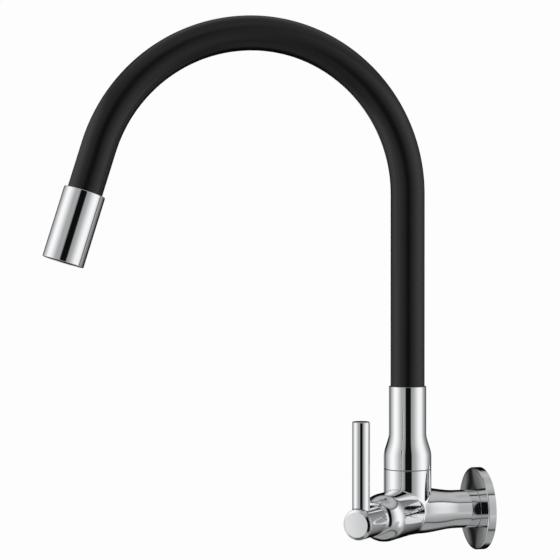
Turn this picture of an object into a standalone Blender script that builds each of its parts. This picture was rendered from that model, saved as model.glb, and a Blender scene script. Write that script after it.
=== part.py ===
"""Wall-mounted kitchen tap with a lever valve and a bendable gooseneck spout.

Metres, +Z up. The origin is on the face of the wall, at the axis of the supply. +Y goes into the wall, -Y is
towards the user and +X is the user's right. Each sub-part is one named object. The pieces of the handle, the
spout and the spout's tip hang from empties that stand on the axes about which they move.
"""
import math

import bmesh
import bpy

# Clearances and mesh settings shared by all pieces
GAP = 0.0003
OVERRUN = 0.002
WELD = 0.00001
SHARP_ANGLE = math.radians(28)

# Where the axes lie
AXIS_OFFSET = 0.054
HANDLE_TURN = math.radians(45)

# Wall tube and the threaded tail, as heights above the wall (outwards) and radii
TAIL_LENGTH = 0.0065
THREAD_RADIUS = 0.0104775
THREAD_DEPTH = 0.00116
THREAD_PITCH = 0.001814
THREAD_RELIEF = 0.0012
TAIL_CHAMFER = 0.001
TUBE_RADIUS = 0.013
TUBE_SHOULDER = 0.0042
TUBE_FLARE_RADIUS = 0.0157
TUBE_FLARE_START = 0.0205
TUBE_FLARE_END = 0.046
INLET_BORE_RADIUS = 0.0055
STRAINER_SEAT_RADIUS = 0.0075
STRAINER_SEAT_DEPTH = 0.003

# Wall flange and its gasket
FLANGE_RADIUS = 0.0282
FLANGE_HEIGHT = 0.006
FLANGE_DISH = 0.0008
FLANGE_DISH_SHARES = (0.0, 0.35, 0.7, 1.0)
FLANGE_CHAMFER = 0.0006
FLANGE_SKIN = 0.0012
FLANGE_RIM = 0.002

# Inlet strainer
STRAINER_THICKNESS = 0.0024
STRAINER_HOLE_RADIUS = 0.0009
STRAINER_RING_RADIUS = 0.0034
STRAINER_HOLES = 8

# Cast body: neck, ball and barrel
NECK_RADIUS = 0.0162
NECK_TOP = 0.0288
BALL_STEP = 0.00015
BARREL_RADIUS = 0.0161
BARREL_FRONT = 0.0479
BARREL_SHOULDER_LENGTH = 0.013
BARREL_SHOULDER_DROP = 0.008
SOCKET_RADIUS = 0.0112
SOCKET_FLOOR = 0.010
SNAP_GROOVE_BOTTOM = 0.0213
SNAP_GROOVE_HEIGHT = 0.0016
SNAP_GROOVE_DEPTH = 0.0009
OUTLET_PORT_RADIUS = 0.0024
OUTLET_PORT_REACH = 0.0082
CARTRIDGE_BORE_RADIUS = 0.009
SEAT_REACH = 0.005
SEAT_HOLE_RADIUS = 0.004

# Valve cartridge, as distances along the handle's axis from the middle of the body
SEAL_THICKNESS = 0.002
SEAL_HOLE_RADIUS = 0.0046
DISC_RADIUS = 0.0066
DISC_THICKNESS = 0.003
DISC_PORT_RADIUS = 0.0017
DISC_PORT_REACH = 0.0036
DRIVE_SLOT_WIDTH = 0.0028
DRIVE_SLOT_DEPTH = 0.0012
SKIRT_RADIUS = 0.008
SKIRT_LENGTH = 0.0105
SPINDLE_FOOT_THICKNESS = 0.003
WINDOW_LENGTH = 0.0045
WINDOW_WIDTH = 0.008
BONNET_SHOULDER = 0.037
BONNET_FRONT = 0.042
HEX_RADIUS = 0.0084
STEM_BORE_RADIUS = 0.0052
STEM_RADIUS = 0.0048
SPLINE_RADIUS = 0.0039
SPLINE_START = 0.0305
SPINDLE_END = 0.060
STEM_GROOVE_REACH = 0.0235
STEM_GROOVE_WIDTH = 0.0022
STEM_GROOVE_RADIUS = 0.0033
BONNET_GROOVE_REACH = 0.0295
BONNET_GROOVE_WIDTH = 0.0024
BONNET_GROOVE_RADIUS = 0.007
CLIP_THICKNESS = 0.0008
CLIP_RADIUS = 0.006
CLIP_GROOVE_RADIUS = 0.003
CLIP_MOUTH = 0.004

# Handle: hub, its screw and cap, lever and stud
HUB_RADIUS = 0.0101
HUB_REAR = 0.0482
HUB_FACE = 0.0755
HUB_CHAMFER = 0.0005
HUB_RECESS_RADIUS = 0.0084
HUB_RECESS_DEPTH = 0.003
HUB_WEB = 0.0017
HUB_POCKET_RADIUS = 0.0046
SCREW_SHANK_RADIUS = 0.0019
SCREW_SHANK_LENGTH = 0.0098
SCREW_HEAD_RADIUS = 0.0036
SCREW_HEAD_LENGTH = 0.0027
SCREW_SOCKET_RADIUS = 0.0015
SCREW_SOCKET_DEPTH = 0.0016
CAP_THICKNESS = 0.0014
CAP_ROUND = 0.0009
CAP_INSET = 0.0003
CAP_STEM_LENGTH = 0.005
LEVER_SETBACK = 0.0069
LEVER_RADIUS = 0.00575
LEVER_TOP = 0.0663
LEVER_ROUND = 0.0008
LEVER_FOOT = 0.0078
STUD_RADIUS = 0.002
STUD_FOOT = 0.0057
STUD_LENGTH = 0.014

# Spout seat: washer, tail and its rings, as heights above the supply's axis
WASHER_THICKNESS = 0.0004
WASHER_SEAT_RADIUS = 0.015
TAIL_BORE_RADIUS = 0.006
TAIL_RING_GROOVE_RADIUS = 0.0092
TAIL_RING_GROOVE_HEIGHT = 0.0024
TAIL_RING_LOWER = 0.0130
TAIL_RING_UPPER = 0.0172
SNAP_RING_INNER_RADIUS = 0.0102
SNAP_RING_MOUTH = 0.005
TAIL_FLANGE_RADIUS = 0.0136
TAIL_FLANGE_HEIGHT = 0.0067
TAIL_SPIGOT_RADIUS = 0.0096
TAIL_TOP = 0.042
TAIL_CUP_RADIUS = 0.0079
TAIL_CUP_DEPTH = 0.008

# Collar
COLLAR_TOP = 0.0852
COLLAR_TOP_RADIUS = 0.0127
COLLAR_FLARE_BOTTOM = 0.0375
COLLAR_FLARE_TOP = 0.0534
COLLAR_WALL_BOTTOM = 0.0023
COLLAR_EDGE = 0.0003

# Hose: silicone sleeve, steel core and water tube along one centreline
HOSE_RADIUS = 0.0116
SLEEVE_WALL = 0.0033
CORE_RADIUS = 0.008
CORE_WALL = 0.0018
WATER_TUBE_RADIUS = 0.005
WATER_TUBE_WALL = 0.0012
ARCH_START = 0.2162
RISER_SHARES = (0.0, 0.5)
RISER_BEND_RADIUS = 0.1061
REACH_BEND_RADIUS = 0.1109
REACH_BEND_SWEEP = math.radians(72.6)
OUTLET_STRAIGHT = 0.0307

# Ferrules at the two ends of the hose
FERRULE_BORE_RADIUS = 0.0038
FERRULE_FLANGE_RADIUS = 0.0108
FERRULE_FLANGE_HEIGHT = 0.0037
FERRULE_CUP_WALL = 0.0013
FERRULE_CUP_LENGTH = 0.007
SLEEVE_START_ABOVE_CUP = 0.002

# Nozzle and aerator, as depths below the nozzle's top
NOZZLE_RADIUS = 0.0138
NOZZLE_LENGTH = 0.0478
NOZZLE_WALL = 0.0011
NOZZLE_CROWN = 0.002
NOZZLE_CHAMFER = 0.0005
SLEEVE_IN_NOZZLE = 0.010
TIP_FLANGE_HEIGHT = 0.004
TIP_SPIGOT_RADIUS = 0.009
TIP_SPIGOT_LENGTH = 0.005
AERATOR_WASHER_INNER_RADIUS = 0.006
AERATOR_WASHER_RADIUS = 0.0105
AERATOR_WASHER_THICKNESS = 0.002
AERATOR_INSERT_RADIUS = 0.0093
AERATOR_INSERT_LENGTH = 0.0094
AERATOR_HOUSING_LENGTH = 0.0155
AERATOR_LIP_RADIUS = 0.0086
JET_RADIUS = 0.0008
JET_RING_RADII = (0.0032, 0.0064)
JETS_PER_RING = (6, 12)

# How finely round shapes are turned
BODY_STEPS = 36
SHELL_STEPS = 28
INNER_STEPS = 20
SMALL_STEPS = 16
RING_SECTION_STEPS = 6
DRILL_SIDES = 6
HOSE_BEVEL_STEPS = 8
CORE_BEVEL_STEPS = 4
WATER_TUBE_BEVEL_STEPS = 2
BEND_STEP = math.radians(7.5)

# Heights that follow from the sizes above
WASHER_TOP = NECK_TOP
WASHER_BOTTOM = WASHER_TOP - WASHER_THICKNESS
COLLAR_BOTTOM = WASHER_TOP + GAP
FERRULE_FLANGE_BOTTOM = TAIL_TOP + GAP
LOWER_CUP_FLOOR = FERRULE_FLANGE_BOTTOM + FERRULE_FLANGE_HEIGHT
SLEEVE_START = LOWER_CUP_FLOOR + FERRULE_CUP_LENGTH + SLEEVE_START_ABOVE_CUP
CORE_START = LOWER_CUP_FLOOR + GAP
TIP_CUP_TOP = -(SLEEVE_IN_NOZZLE + GAP)
TIP_CUP_FLOOR = TIP_CUP_TOP - FERRULE_CUP_LENGTH
CORE_IN_NOZZLE = -TIP_CUP_FLOOR - GAP
NOZZLE_BORE_RADIUS = NOZZLE_RADIUS - NOZZLE_WALL
HOSE_HOLE_RADIUS = HOSE_RADIUS + GAP
CORE_CUP_RADIUS = CORE_RADIUS + GAP
LEVER_REACH = HUB_FACE - LEVER_SETBACK
HUB_FRONT = HUB_FACE - CAP_THICKNESS - GAP
SEAL_BACK = SEAT_REACH + GAP
FIXED_DISC_BACK = SEAL_BACK + SEAL_THICKNESS + GAP
MOVING_DISC_BACK = FIXED_DISC_BACK + DISC_THICKNESS + GAP
SPINDLE_FOOT_BACK = MOVING_DISC_BACK + DISC_THICKNESS + GAP
SKIRT_FRONT = FIXED_DISC_BACK + SKIRT_LENGTH
BONNET_RADIUS = CARTRIDGE_BORE_RADIUS - GAP
SPOUT_TAIL_RADIUS = SOCKET_RADIUS - GAP
CROWN_HEIGHT = ARCH_START + RISER_BEND_RADIUS


def clear_scene():
    """Removes what the scene holds, so that the script can run again."""
    for item in list(bpy.data.objects):
        bpy.data.objects.remove(item, do_unlink=True)


def new_collection(name):
    group = bpy.data.collections.new(name)
    bpy.context.scene.collection.children.link(group)
    return group


def finish_of(name, colour, roughness, metallic):
    """A Principled material with the finish of one sub-part."""
    finish = bpy.data.materials.new(name)
    finish.use_nodes = True
    shader = finish.node_tree.nodes["Principled BSDF"]
    shader.inputs["Base Color"].default_value = (*colour, 1.0)
    shader.inputs["Roughness"].default_value = roughness
    shader.inputs["Metallic"].default_value = metallic
    finish.diffuse_color = (*colour, 1.0)
    return finish


def chrome(name):
    return finish_of(name, (0.86, 0.87, 0.88), 0.05, 1.0)


def brass(name):
    return finish_of(name, (0.78, 0.60, 0.30), 0.30, 1.0)


def stainless(name):
    return finish_of(name, (0.62, 0.62, 0.61), 0.32, 1.0)


def ceramic(name):
    return finish_of(name, (0.90, 0.90, 0.87), 0.25, 0.0)


def black_rubber(name):
    return finish_of(name, (0.03, 0.03, 0.032), 0.60, 0.0)


def black_silicone(name):
    return finish_of(name, (0.022, 0.022, 0.025), 0.52, 0.0)


def white_plastic(name):
    return finish_of(name, (0.80, 0.80, 0.78), 0.40, 0.0)


def arc(centre, radius, start, stop, count):
    """Points of an outline along a circle, from the angle start to the angle stop."""
    angles = [start + (stop - start) * n / count for n in range(count + 1)]
    return [(centre[0] + radius * math.cos(a), centre[1] + radius * math.sin(a)) for a in angles]


def flare(first, last, count):
    """Points of an outline that leaves first and reaches last parallel to the axis, in an S."""
    points = []
    for n in range(count + 1):
        share = n / count
        blend = share * share * (3 - 2 * share)
        points.append((first[0] + (last[0] - first[0]) * blend, first[1] + (last[1] - first[1]) * share))
    return points


def ring_outline(radius_in, radius_out, bottom, top):
    return [(radius_out, top), (radius_out, bottom), (radius_in, bottom), (radius_in, top)]


def disc_outline(radius, bottom, top):
    return [(0.0, top), (radius, top), (radius, bottom), (0.0, bottom)]


def round_ring_outline(radius_in, radius_out, bottom, top):
    """A round section that stands clear of the walls of its groove by the gap."""
    section = min(radius_out - radius_in, top - bottom) / 2 - GAP
    centre = ((radius_in + radius_out) / 2, (bottom + top) / 2)
    return arc(centre, section, math.pi / 2, -3 * math.pi / 2, RING_SECTION_STEPS)[:-1]


def hang(item, parent):
    """Places an object in the frame of its parent empty."""
    item.parent = parent
    return item


def turned(name, outline, steps, parent, group, finish=None):
    """A turned piece: the outline (radius, height) runs down the outer side, and a Screw turns it about Z.

    An outline that starts and ends on the axis is a solid; any other is closed into a ring.
    """
    mesh = bpy.data.meshes.new(name)
    count = len(outline)
    edges = [(n, n + 1) for n in range(count - 1)]
    if outline[0][0] > 0:
        edges.append((count - 1, 0))
    mesh.from_pydata([(radius, 0.0, height) for radius, height in outline], edges, [])
    item = bpy.data.objects.new(name, mesh)
    group.objects.link(item)
    screw = item.modifiers.new("turn", "SCREW")
    screw.axis = "Z"
    screw.angle = math.tau
    screw.steps = steps
    screw.render_steps = steps
    screw.use_merge_vertices = True
    screw.merge_threshold = WELD
    if finish:
        mesh.materials.append(finish)
    return hang(item, parent)


def as_cutter(item):
    """Marks an object that only shapes others."""
    item.hide_render = True
    item.display_type = "WIRE"
    return item


def box_cutter(name, size, centre, parent, group):
    mesh = bpy.data.meshes.new(name)
    shape = bmesh.new()
    bmesh.ops.create_cube(shape, size=1.0)
    bmesh.ops.scale(shape, vec=size, verts=shape.verts)
    bmesh.ops.translate(shape, vec=centre, verts=shape.verts)
    shape.to_mesh(mesh)
    shape.free()
    item = bpy.data.objects.new(name, mesh)
    group.objects.link(item)
    return as_cutter(hang(item, parent))


def drill_cutter(name, places, radius, bottom, top, parent, group, sides=DRILL_SIDES):
    """Parallel drills along Z, one at each place (x, y)."""
    mesh = bpy.data.meshes.new(name)
    shape = bmesh.new()
    for place in places:
        made = bmesh.ops.create_cone(
            shape, cap_ends=True, segments=sides, radius1=radius, radius2=radius, depth=top - bottom
        )
        bmesh.ops.translate(shape, vec=(*place, (top + bottom) / 2), verts=made["verts"])
    shape.to_mesh(mesh)
    shape.free()
    item = bpy.data.objects.new(name, mesh)
    group.objects.link(item)
    return as_cutter(hang(item, parent))


def ring_of_places(radius, count):
    angles = [math.tau * n / count for n in range(count)]
    return [(radius * math.cos(angle), radius * math.sin(angle)) for angle in angles]


def shape_with(item, other, operation="DIFFERENCE"):
    """Cuts another object out of a piece, or joins it on."""
    cut = item.modifiers.new(other.name, "BOOLEAN")
    cut.operation = operation
    cut.solver = "EXACT"
    cut.object = other
    return item


def axis_empty(name, place, rotation, parent, group):
    empty = bpy.data.objects.new(name, None)
    empty.empty_display_size = NECK_RADIUS
    empty.location = place
    empty.rotation_euler = rotation
    empty.parent = parent
    group.objects.link(empty)
    return empty


def hose_centreline(extra):
    """Centreline of the hose: riser, arch, and the outlet down to extra past the nozzle's top."""
    path = [(0.0, 0.0, ARCH_START * share) for share in RISER_SHARES]
    first = max(3, round(math.pi / 2 / BEND_STEP))
    for n in range(first + 1):
        turn = math.pi / 2 * n / first
        back = -RISER_BEND_RADIUS * (1 - math.cos(turn))
        path.append((0.0, back, ARCH_START + RISER_BEND_RADIUS * math.sin(turn)))
    second = max(3, round(REACH_BEND_SWEEP / BEND_STEP))
    for n in range(1, second + 1):
        turn = REACH_BEND_SWEEP * n / second
        path.append((
            0.0,
            -RISER_BEND_RADIUS - REACH_BEND_RADIUS * math.sin(turn),
            CROWN_HEIGHT - REACH_BEND_RADIUS * (1 - math.cos(turn)),
        ))
    last = path[-1]
    length = OUTLET_STRAIGHT + extra
    drop = length * math.sin(REACH_BEND_SWEEP)
    path.append((0.0, last[1] - length * math.cos(REACH_BEND_SWEEP), last[2] - drop))
    return path


def hose_tube(name, start, extra, radius, wall, bevel, parent, group, finish):
    """A tube along the hose: an open bevelled curve, made a mesh and given its wall inwards."""
    path = hose_centreline(extra)
    path[0] = (0.0, 0.0, start)
    curve = bpy.data.curves.new(name, "CURVE")
    curve.dimensions = "3D"
    curve.bevel_depth = radius
    curve.bevel_resolution = bevel
    curve.use_fill_caps = False
    line = curve.splines.new("POLY")
    line.points.add(len(path) - 1)
    for point, place in zip(line.points, path):
        point.co = (*place, 1.0)
    guide = bpy.data.objects.new(name + "_path", curve)
    group.objects.link(guide)
    bpy.context.view_layer.update()
    mesh = bpy.data.meshes.new_from_object(guide.evaluated_get(bpy.context.evaluated_depsgraph_get()))
    mesh.name = name
    shape = bmesh.new()
    shape.from_mesh(mesh)
    bmesh.ops.remove_doubles(shape, verts=shape.verts, dist=WELD)
    bmesh.ops.recalc_face_normals(shape, faces=shape.faces)
    shape.to_mesh(mesh)
    shape.free()
    item = bpy.data.objects.new(name, mesh)
    item.matrix_world = guide.matrix_world
    group.objects.link(item)
    bpy.data.objects.remove(guide, do_unlink=True)
    solid = item.modifiers.new("wall", "SOLIDIFY")
    solid.thickness = wall
    solid.offset = -1.0
    solid.use_even_offset = True
    mesh.materials.clear()
    mesh.materials.append(finish)
    return hang(item, parent)


def tail_thread():
    """Outline of the threaded tail, from the tube's shoulder inwards: V grooves at its pitch."""
    start = TUBE_SHOULDER - THREAD_RELIEF
    points = [(THREAD_RADIUS - THREAD_DEPTH, TUBE_SHOULDER), (THREAD_RADIUS - THREAD_DEPTH, start)]
    turns = int((TAIL_LENGTH + start - TAIL_CHAMFER) / THREAD_PITCH)
    for n in range(turns):
        root = start - n * THREAD_PITCH
        points.append((THREAD_RADIUS, root - THREAD_PITCH / 2))
        points.append((THREAD_RADIUS - THREAD_DEPTH, root - THREAD_PITCH))
    points.append((THREAD_RADIUS - TAIL_CHAMFER, -TAIL_LENGTH))
    return points


def make_valve_body(axes, group, cutters):
    """Cast and bored body: wall tube with its threaded tail, ball, neck and valve barrel."""
    outline = [(0.0, AXIS_OFFSET), (TUBE_FLARE_RADIUS, AXIS_OFFSET)]
    outline += flare((TUBE_FLARE_RADIUS, TUBE_FLARE_END), (TUBE_RADIUS, TUBE_FLARE_START), 6)
    outline += [(TUBE_RADIUS, TUBE_SHOULDER)]
    outline += tail_thread() + [(0.0, -TAIL_LENGTH)]
    body = turned("valve_body", outline, BODY_STEPS, axes["wall"], group, chrome("body_chrome"))

    ball = NECK_RADIUS - BALL_STEP
    neck = [(0.0, NECK_TOP), (NECK_RADIUS, NECK_TOP), (NECK_RADIUS, 0.0)]
    neck += arc((0.0, 0.0), ball, 0.0, -math.pi / 2, 8)[:-1] + [(0.0, -ball)]
    neck_form = as_cutter(turned("neck_form", neck, BODY_STEPS, axes["neck"], cutters))
    shape_with(body, neck_form, "UNION")

    barrel = [(0.0, BARREL_FRONT)]
    for across, along in arc((0.0, 0.0), 1, math.pi / 2, 0.0, 8):
        radius = BARREL_RADIUS - BARREL_SHOULDER_DROP * (1 - across)
        barrel.append((radius, BARREL_FRONT - BARREL_SHOULDER_LENGTH * (1 - along)))
    barrel += [(BARREL_RADIUS, 0.0), (0.0, 0.0)]
    barrel_form = as_cutter(turned("barrel_form", barrel, BODY_STEPS, axes["barrel"], cutters))
    shape_with(body, barrel_form, "UNION")

    inlet = [(0.0, AXIS_OFFSET), (INLET_BORE_RADIUS, AXIS_OFFSET)]
    inlet += [(INLET_BORE_RADIUS, STRAINER_SEAT_DEPTH - TAIL_LENGTH)]
    inlet += [(STRAINER_SEAT_RADIUS, STRAINER_SEAT_DEPTH - TAIL_LENGTH)]
    inlet += [(STRAINER_SEAT_RADIUS, -TAIL_LENGTH - OVERRUN), (0.0, -TAIL_LENGTH - OVERRUN)]
    shape_with(body, as_cutter(turned("inlet_bore", inlet, INNER_STEPS, axes["wall"], cutters)))

    pocket = disc_outline(CARTRIDGE_BORE_RADIUS, SEAT_REACH, BARREL_FRONT + OVERRUN)
    shape_with(body, as_cutter(turned("cartridge_bore", pocket, INNER_STEPS, axes["barrel"], cutters)))
    seat = disc_outline(SEAT_HOLE_RADIUS, -OVERRUN, SEAT_REACH + OVERRUN)
    shape_with(body, as_cutter(turned("seat_hole", seat, SMALL_STEPS, axes["barrel"], cutters)))

    groove = SOCKET_RADIUS + SNAP_GROOVE_DEPTH
    groove_top = SNAP_GROOVE_BOTTOM + SNAP_GROOVE_HEIGHT
    washer_seat = WASHER_BOTTOM - GAP
    socket = [(0.0, NECK_TOP + OVERRUN), (WASHER_SEAT_RADIUS, NECK_TOP + OVERRUN)]
    socket += [(WASHER_SEAT_RADIUS, washer_seat), (SOCKET_RADIUS, washer_seat)]
    socket += [(SOCKET_RADIUS, groove_top), (groove, groove_top), (groove, SNAP_GROOVE_BOTTOM)]
    socket += [(SOCKET_RADIUS, SNAP_GROOVE_BOTTOM), (SOCKET_RADIUS, SOCKET_FLOOR), (0.0, SOCKET_FLOOR)]
    shape_with(body, as_cutter(turned("neck_socket", socket, INNER_STEPS, axes["neck"], cutters)))

    place = (OUTLET_PORT_REACH * math.sin(HANDLE_TURN), -OUTLET_PORT_REACH * math.cos(HANDLE_TURN))
    port = drill_cutter(
        "outlet_port", [place], OUTLET_PORT_RADIUS, SOCKET_FLOOR - 2 * OVERRUN, SOCKET_FLOOR + OVERRUN,
        axes["neck"], cutters, SMALL_STEPS,
    )
    shape_with(body, port)


def make_wall_fittings(axes, group, cutters):
    """Pressed flange with its dished face, the gasket behind it, and the strainer washer in the tail."""
    hole = TUBE_RADIUS + GAP
    edge = FLANGE_RADIUS - FLANGE_CHAMFER
    inner_rim = FLANGE_RADIUS - FLANGE_RIM
    outline = []
    for share in FLANGE_DISH_SHARES:
        outline.append((hole + (edge - hole) * share, FLANGE_HEIGHT - FLANGE_DISH * (1 - share * share)))
    outline += [(FLANGE_RADIUS, FLANGE_HEIGHT - FLANGE_CHAMFER), (FLANGE_RADIUS, 0.0), (inner_rim, 0.0)]
    outline += [(inner_rim, FLANGE_HEIGHT - FLANGE_SKIN), (hole, FLANGE_HEIGHT - FLANGE_DISH - FLANGE_SKIN)]
    turned("wall_flange", outline, BODY_STEPS, axes["wall"], group, chrome("flange_chrome"))

    gasket_top = FLANGE_HEIGHT - FLANGE_DISH - FLANGE_SKIN - GAP
    gasket = ring_outline(hole, FLANGE_RADIUS - FLANGE_RIM - GAP, 0.0, gasket_top)
    turned("flange_gasket", gasket, INNER_STEPS, axes["wall"], group, black_rubber("gasket_rubber"))

    top = STRAINER_SEAT_DEPTH - TAIL_LENGTH - GAP
    washer = disc_outline(STRAINER_SEAT_RADIUS - GAP, top - STRAINER_THICKNESS, top)
    strainer = turned(
        "inlet_strainer", washer, INNER_STEPS, axes["wall"], group, white_plastic("strainer_plastic"),
    )
    places = [(0.0, 0.0)] + ring_of_places(STRAINER_RING_RADIUS, STRAINER_HOLES)
    bottom = top - STRAINER_THICKNESS - OVERRUN
    shape_with(strainer, drill_cutter(
        "strainer_holes", places, STRAINER_HOLE_RADIUS, bottom, top + OVERRUN, axes["wall"], cutters,
    ))


def make_discs(axes, group, cutters):
    """Seat seal and the two ceramic discs, with their ports in line, as they are when the tap is open."""
    seal = ring_outline(SEAL_HOLE_RADIUS, DISC_RADIUS, SEAL_BACK, SEAL_BACK + SEAL_THICKNESS)
    turned("seat_seal", seal, INNER_STEPS, axes["barrel"], group, black_rubber("seal_rubber"))

    ports = [(DISC_PORT_REACH, 0.0), (-DISC_PORT_REACH, 0.0)]
    for name, back, parent in (
        ("fixed_disc", FIXED_DISC_BACK, axes["barrel"]),
        ("moving_disc", MOVING_DISC_BACK, axes["handle"]),
    ):
        outline = disc_outline(DISC_RADIUS, back, back + DISC_THICKNESS)
        disc = turned(name, outline, INNER_STEPS, parent, group, ceramic(name + "_ceramic"))
        shape_with(disc, drill_cutter(
            name + "_ports", ports, DISC_PORT_RADIUS, back - OVERRUN, back + DISC_THICKNESS + OVERRUN,
            parent, cutters,
        ))
    slot_front = MOVING_DISC_BACK + DISC_THICKNESS
    slot = box_cutter(
        "drive_slot", (2 * (DISC_RADIUS + OVERRUN), DRIVE_SLOT_WIDTH, 2 * DRIVE_SLOT_DEPTH),
        (0.0, 0.0, slot_front), axes["handle"], cutters,
    )
    shape_with(disc, slot)


def make_bonnet(axes, group, cutters):
    """Brass headwork: skirt round the discs, threaded middle, hexagon in front, and its O-ring."""
    groove_front = BONNET_GROOVE_REACH + BONNET_GROOVE_WIDTH
    outline = [(0.0, BONNET_SHOULDER + GAP), (BONNET_RADIUS, BONNET_SHOULDER + GAP)]
    outline += [(BONNET_RADIUS, groove_front), (BONNET_GROOVE_RADIUS, groove_front)]
    outline += [(BONNET_GROOVE_RADIUS, BONNET_GROOVE_REACH), (BONNET_RADIUS, BONNET_GROOVE_REACH)]
    outline += [(BONNET_RADIUS, SKIRT_FRONT), (SKIRT_RADIUS, SKIRT_FRONT), (SKIRT_RADIUS, FIXED_DISC_BACK)]
    outline += [(DISC_RADIUS + GAP, FIXED_DISC_BACK), (DISC_RADIUS + GAP, SKIRT_FRONT)]
    outline += [(0.0, SKIRT_FRONT)]
    bonnet = turned("cartridge_bonnet", outline, INNER_STEPS, axes["barrel"], group, brass("bonnet_brass"))

    hexagon = drill_cutter(
        "bonnet_hexagon", [(0.0, 0.0)], HEX_RADIUS, BONNET_SHOULDER, BONNET_FRONT, axes["barrel"], cutters, 6,
    )
    shape_with(bonnet, hexagon, "UNION")
    stem_bore = drill_cutter(
        "stem_bore", [(0.0, 0.0)], STEM_BORE_RADIUS, SKIRT_FRONT - OVERRUN, BONNET_FRONT + OVERRUN,
        axes["barrel"], cutters, INNER_STEPS,
    )
    shape_with(bonnet, stem_bore)
    window_middle = MOVING_DISC_BACK + DISC_THICKNESS / 2
    windows = box_cutter(
        "bonnet_windows", (WINDOW_WIDTH, 2 * (SKIRT_RADIUS + OVERRUN), WINDOW_LENGTH),
        (0.0, 0.0, window_middle), axes["barrel"], cutters,
    )
    shape_with(bonnet, windows)

    ring = round_ring_outline(BONNET_GROOVE_RADIUS, CARTRIDGE_BORE_RADIUS, BONNET_GROOVE_REACH, groove_front)
    turned("bonnet_o_ring", ring, SMALL_STEPS, axes["barrel"], group, black_rubber("bonnet_ring_rubber"))


def make_spindle(axes, group, cutters):
    """Brass spindle with its driving tongue, O-ring groove, splined end and circlip."""
    foot_front = SPINDLE_FOOT_BACK + SPINDLE_FOOT_THICKNESS
    stem_groove_front = STEM_GROOVE_REACH + STEM_GROOVE_WIDTH
    clip_back = BONNET_FRONT + GAP
    clip_front = clip_back + CLIP_THICKNESS
    tapped = SCREW_SHANK_RADIUS + GAP
    tapped_floor = SPINDLE_END - (SCREW_SHANK_LENGTH - HUB_WEB)
    outline = [(tapped, SPINDLE_END), (SPLINE_RADIUS, SPINDLE_END)]
    outline += [(SPLINE_RADIUS, clip_front + GAP), (CLIP_GROOVE_RADIUS, clip_front + GAP)]
    outline += [(CLIP_GROOVE_RADIUS, clip_back - GAP), (SPLINE_RADIUS, clip_back - GAP)]
    outline += [(SPLINE_RADIUS, SPLINE_START), (STEM_RADIUS, SPLINE_START), (STEM_RADIUS, stem_groove_front)]
    outline += [(STEM_GROOVE_RADIUS, stem_groove_front), (STEM_GROOVE_RADIUS, STEM_GROOVE_REACH)]
    outline += [(STEM_RADIUS, STEM_GROOVE_REACH), (STEM_RADIUS, foot_front), (DISC_RADIUS, foot_front)]
    outline += [(DISC_RADIUS, SPINDLE_FOOT_BACK), (0.0, SPINDLE_FOOT_BACK)]
    spindle_solid = [(0.0, tapped_floor), (tapped, tapped_floor)] + outline
    spindle = turned(
        "valve_spindle", spindle_solid, SMALL_STEPS, axes["handle"], group, brass("spindle_brass"),
    )
    tongue_width = DRIVE_SLOT_WIDTH - 2 * GAP
    tongue_back = MOVING_DISC_BACK + DISC_THICKNESS - DRIVE_SLOT_DEPTH + GAP
    tongue_depth = SPINDLE_FOOT_BACK + SPINDLE_FOOT_THICKNESS / 2 - tongue_back
    tongue = box_cutter(
        "drive_tongue", (2 * (DISC_RADIUS - GAP), tongue_width, tongue_depth),
        (0.0, 0.0, tongue_back + tongue_depth / 2), axes["handle"], cutters,
    )
    clip_to_foot = as_cutter(turned(
        "tongue_round", disc_outline(DISC_RADIUS - GAP, tongue_back - OVERRUN, foot_front + OVERRUN),
        SMALL_STEPS, axes["handle"], cutters,
    ))
    shape_with(tongue, clip_to_foot, "INTERSECT")
    shape_with(spindle, tongue, "UNION")

    ring = round_ring_outline(STEM_GROOVE_RADIUS, STEM_BORE_RADIUS, STEM_GROOVE_REACH, stem_groove_front)
    turned("spindle_o_ring", ring, SMALL_STEPS, axes["handle"], group, black_rubber("spindle_ring_rubber"))

    clip = turned(
        "spindle_clip", ring_outline(CLIP_GROOVE_RADIUS + GAP, CLIP_RADIUS, clip_back, clip_front),
        INNER_STEPS, axes["handle"], group, stainless("clip_steel"),
    )
    mouth = box_cutter(
        "clip_mouth", (CLIP_MOUTH, CLIP_RADIUS + OVERRUN, CLIP_THICKNESS + 2 * OVERRUN),
        (0.0, -(CLIP_RADIUS + OVERRUN) / 2, (clip_back + clip_front) / 2), axes["handle"], cutters,
    )
    shape_with(clip, mouth)


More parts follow.
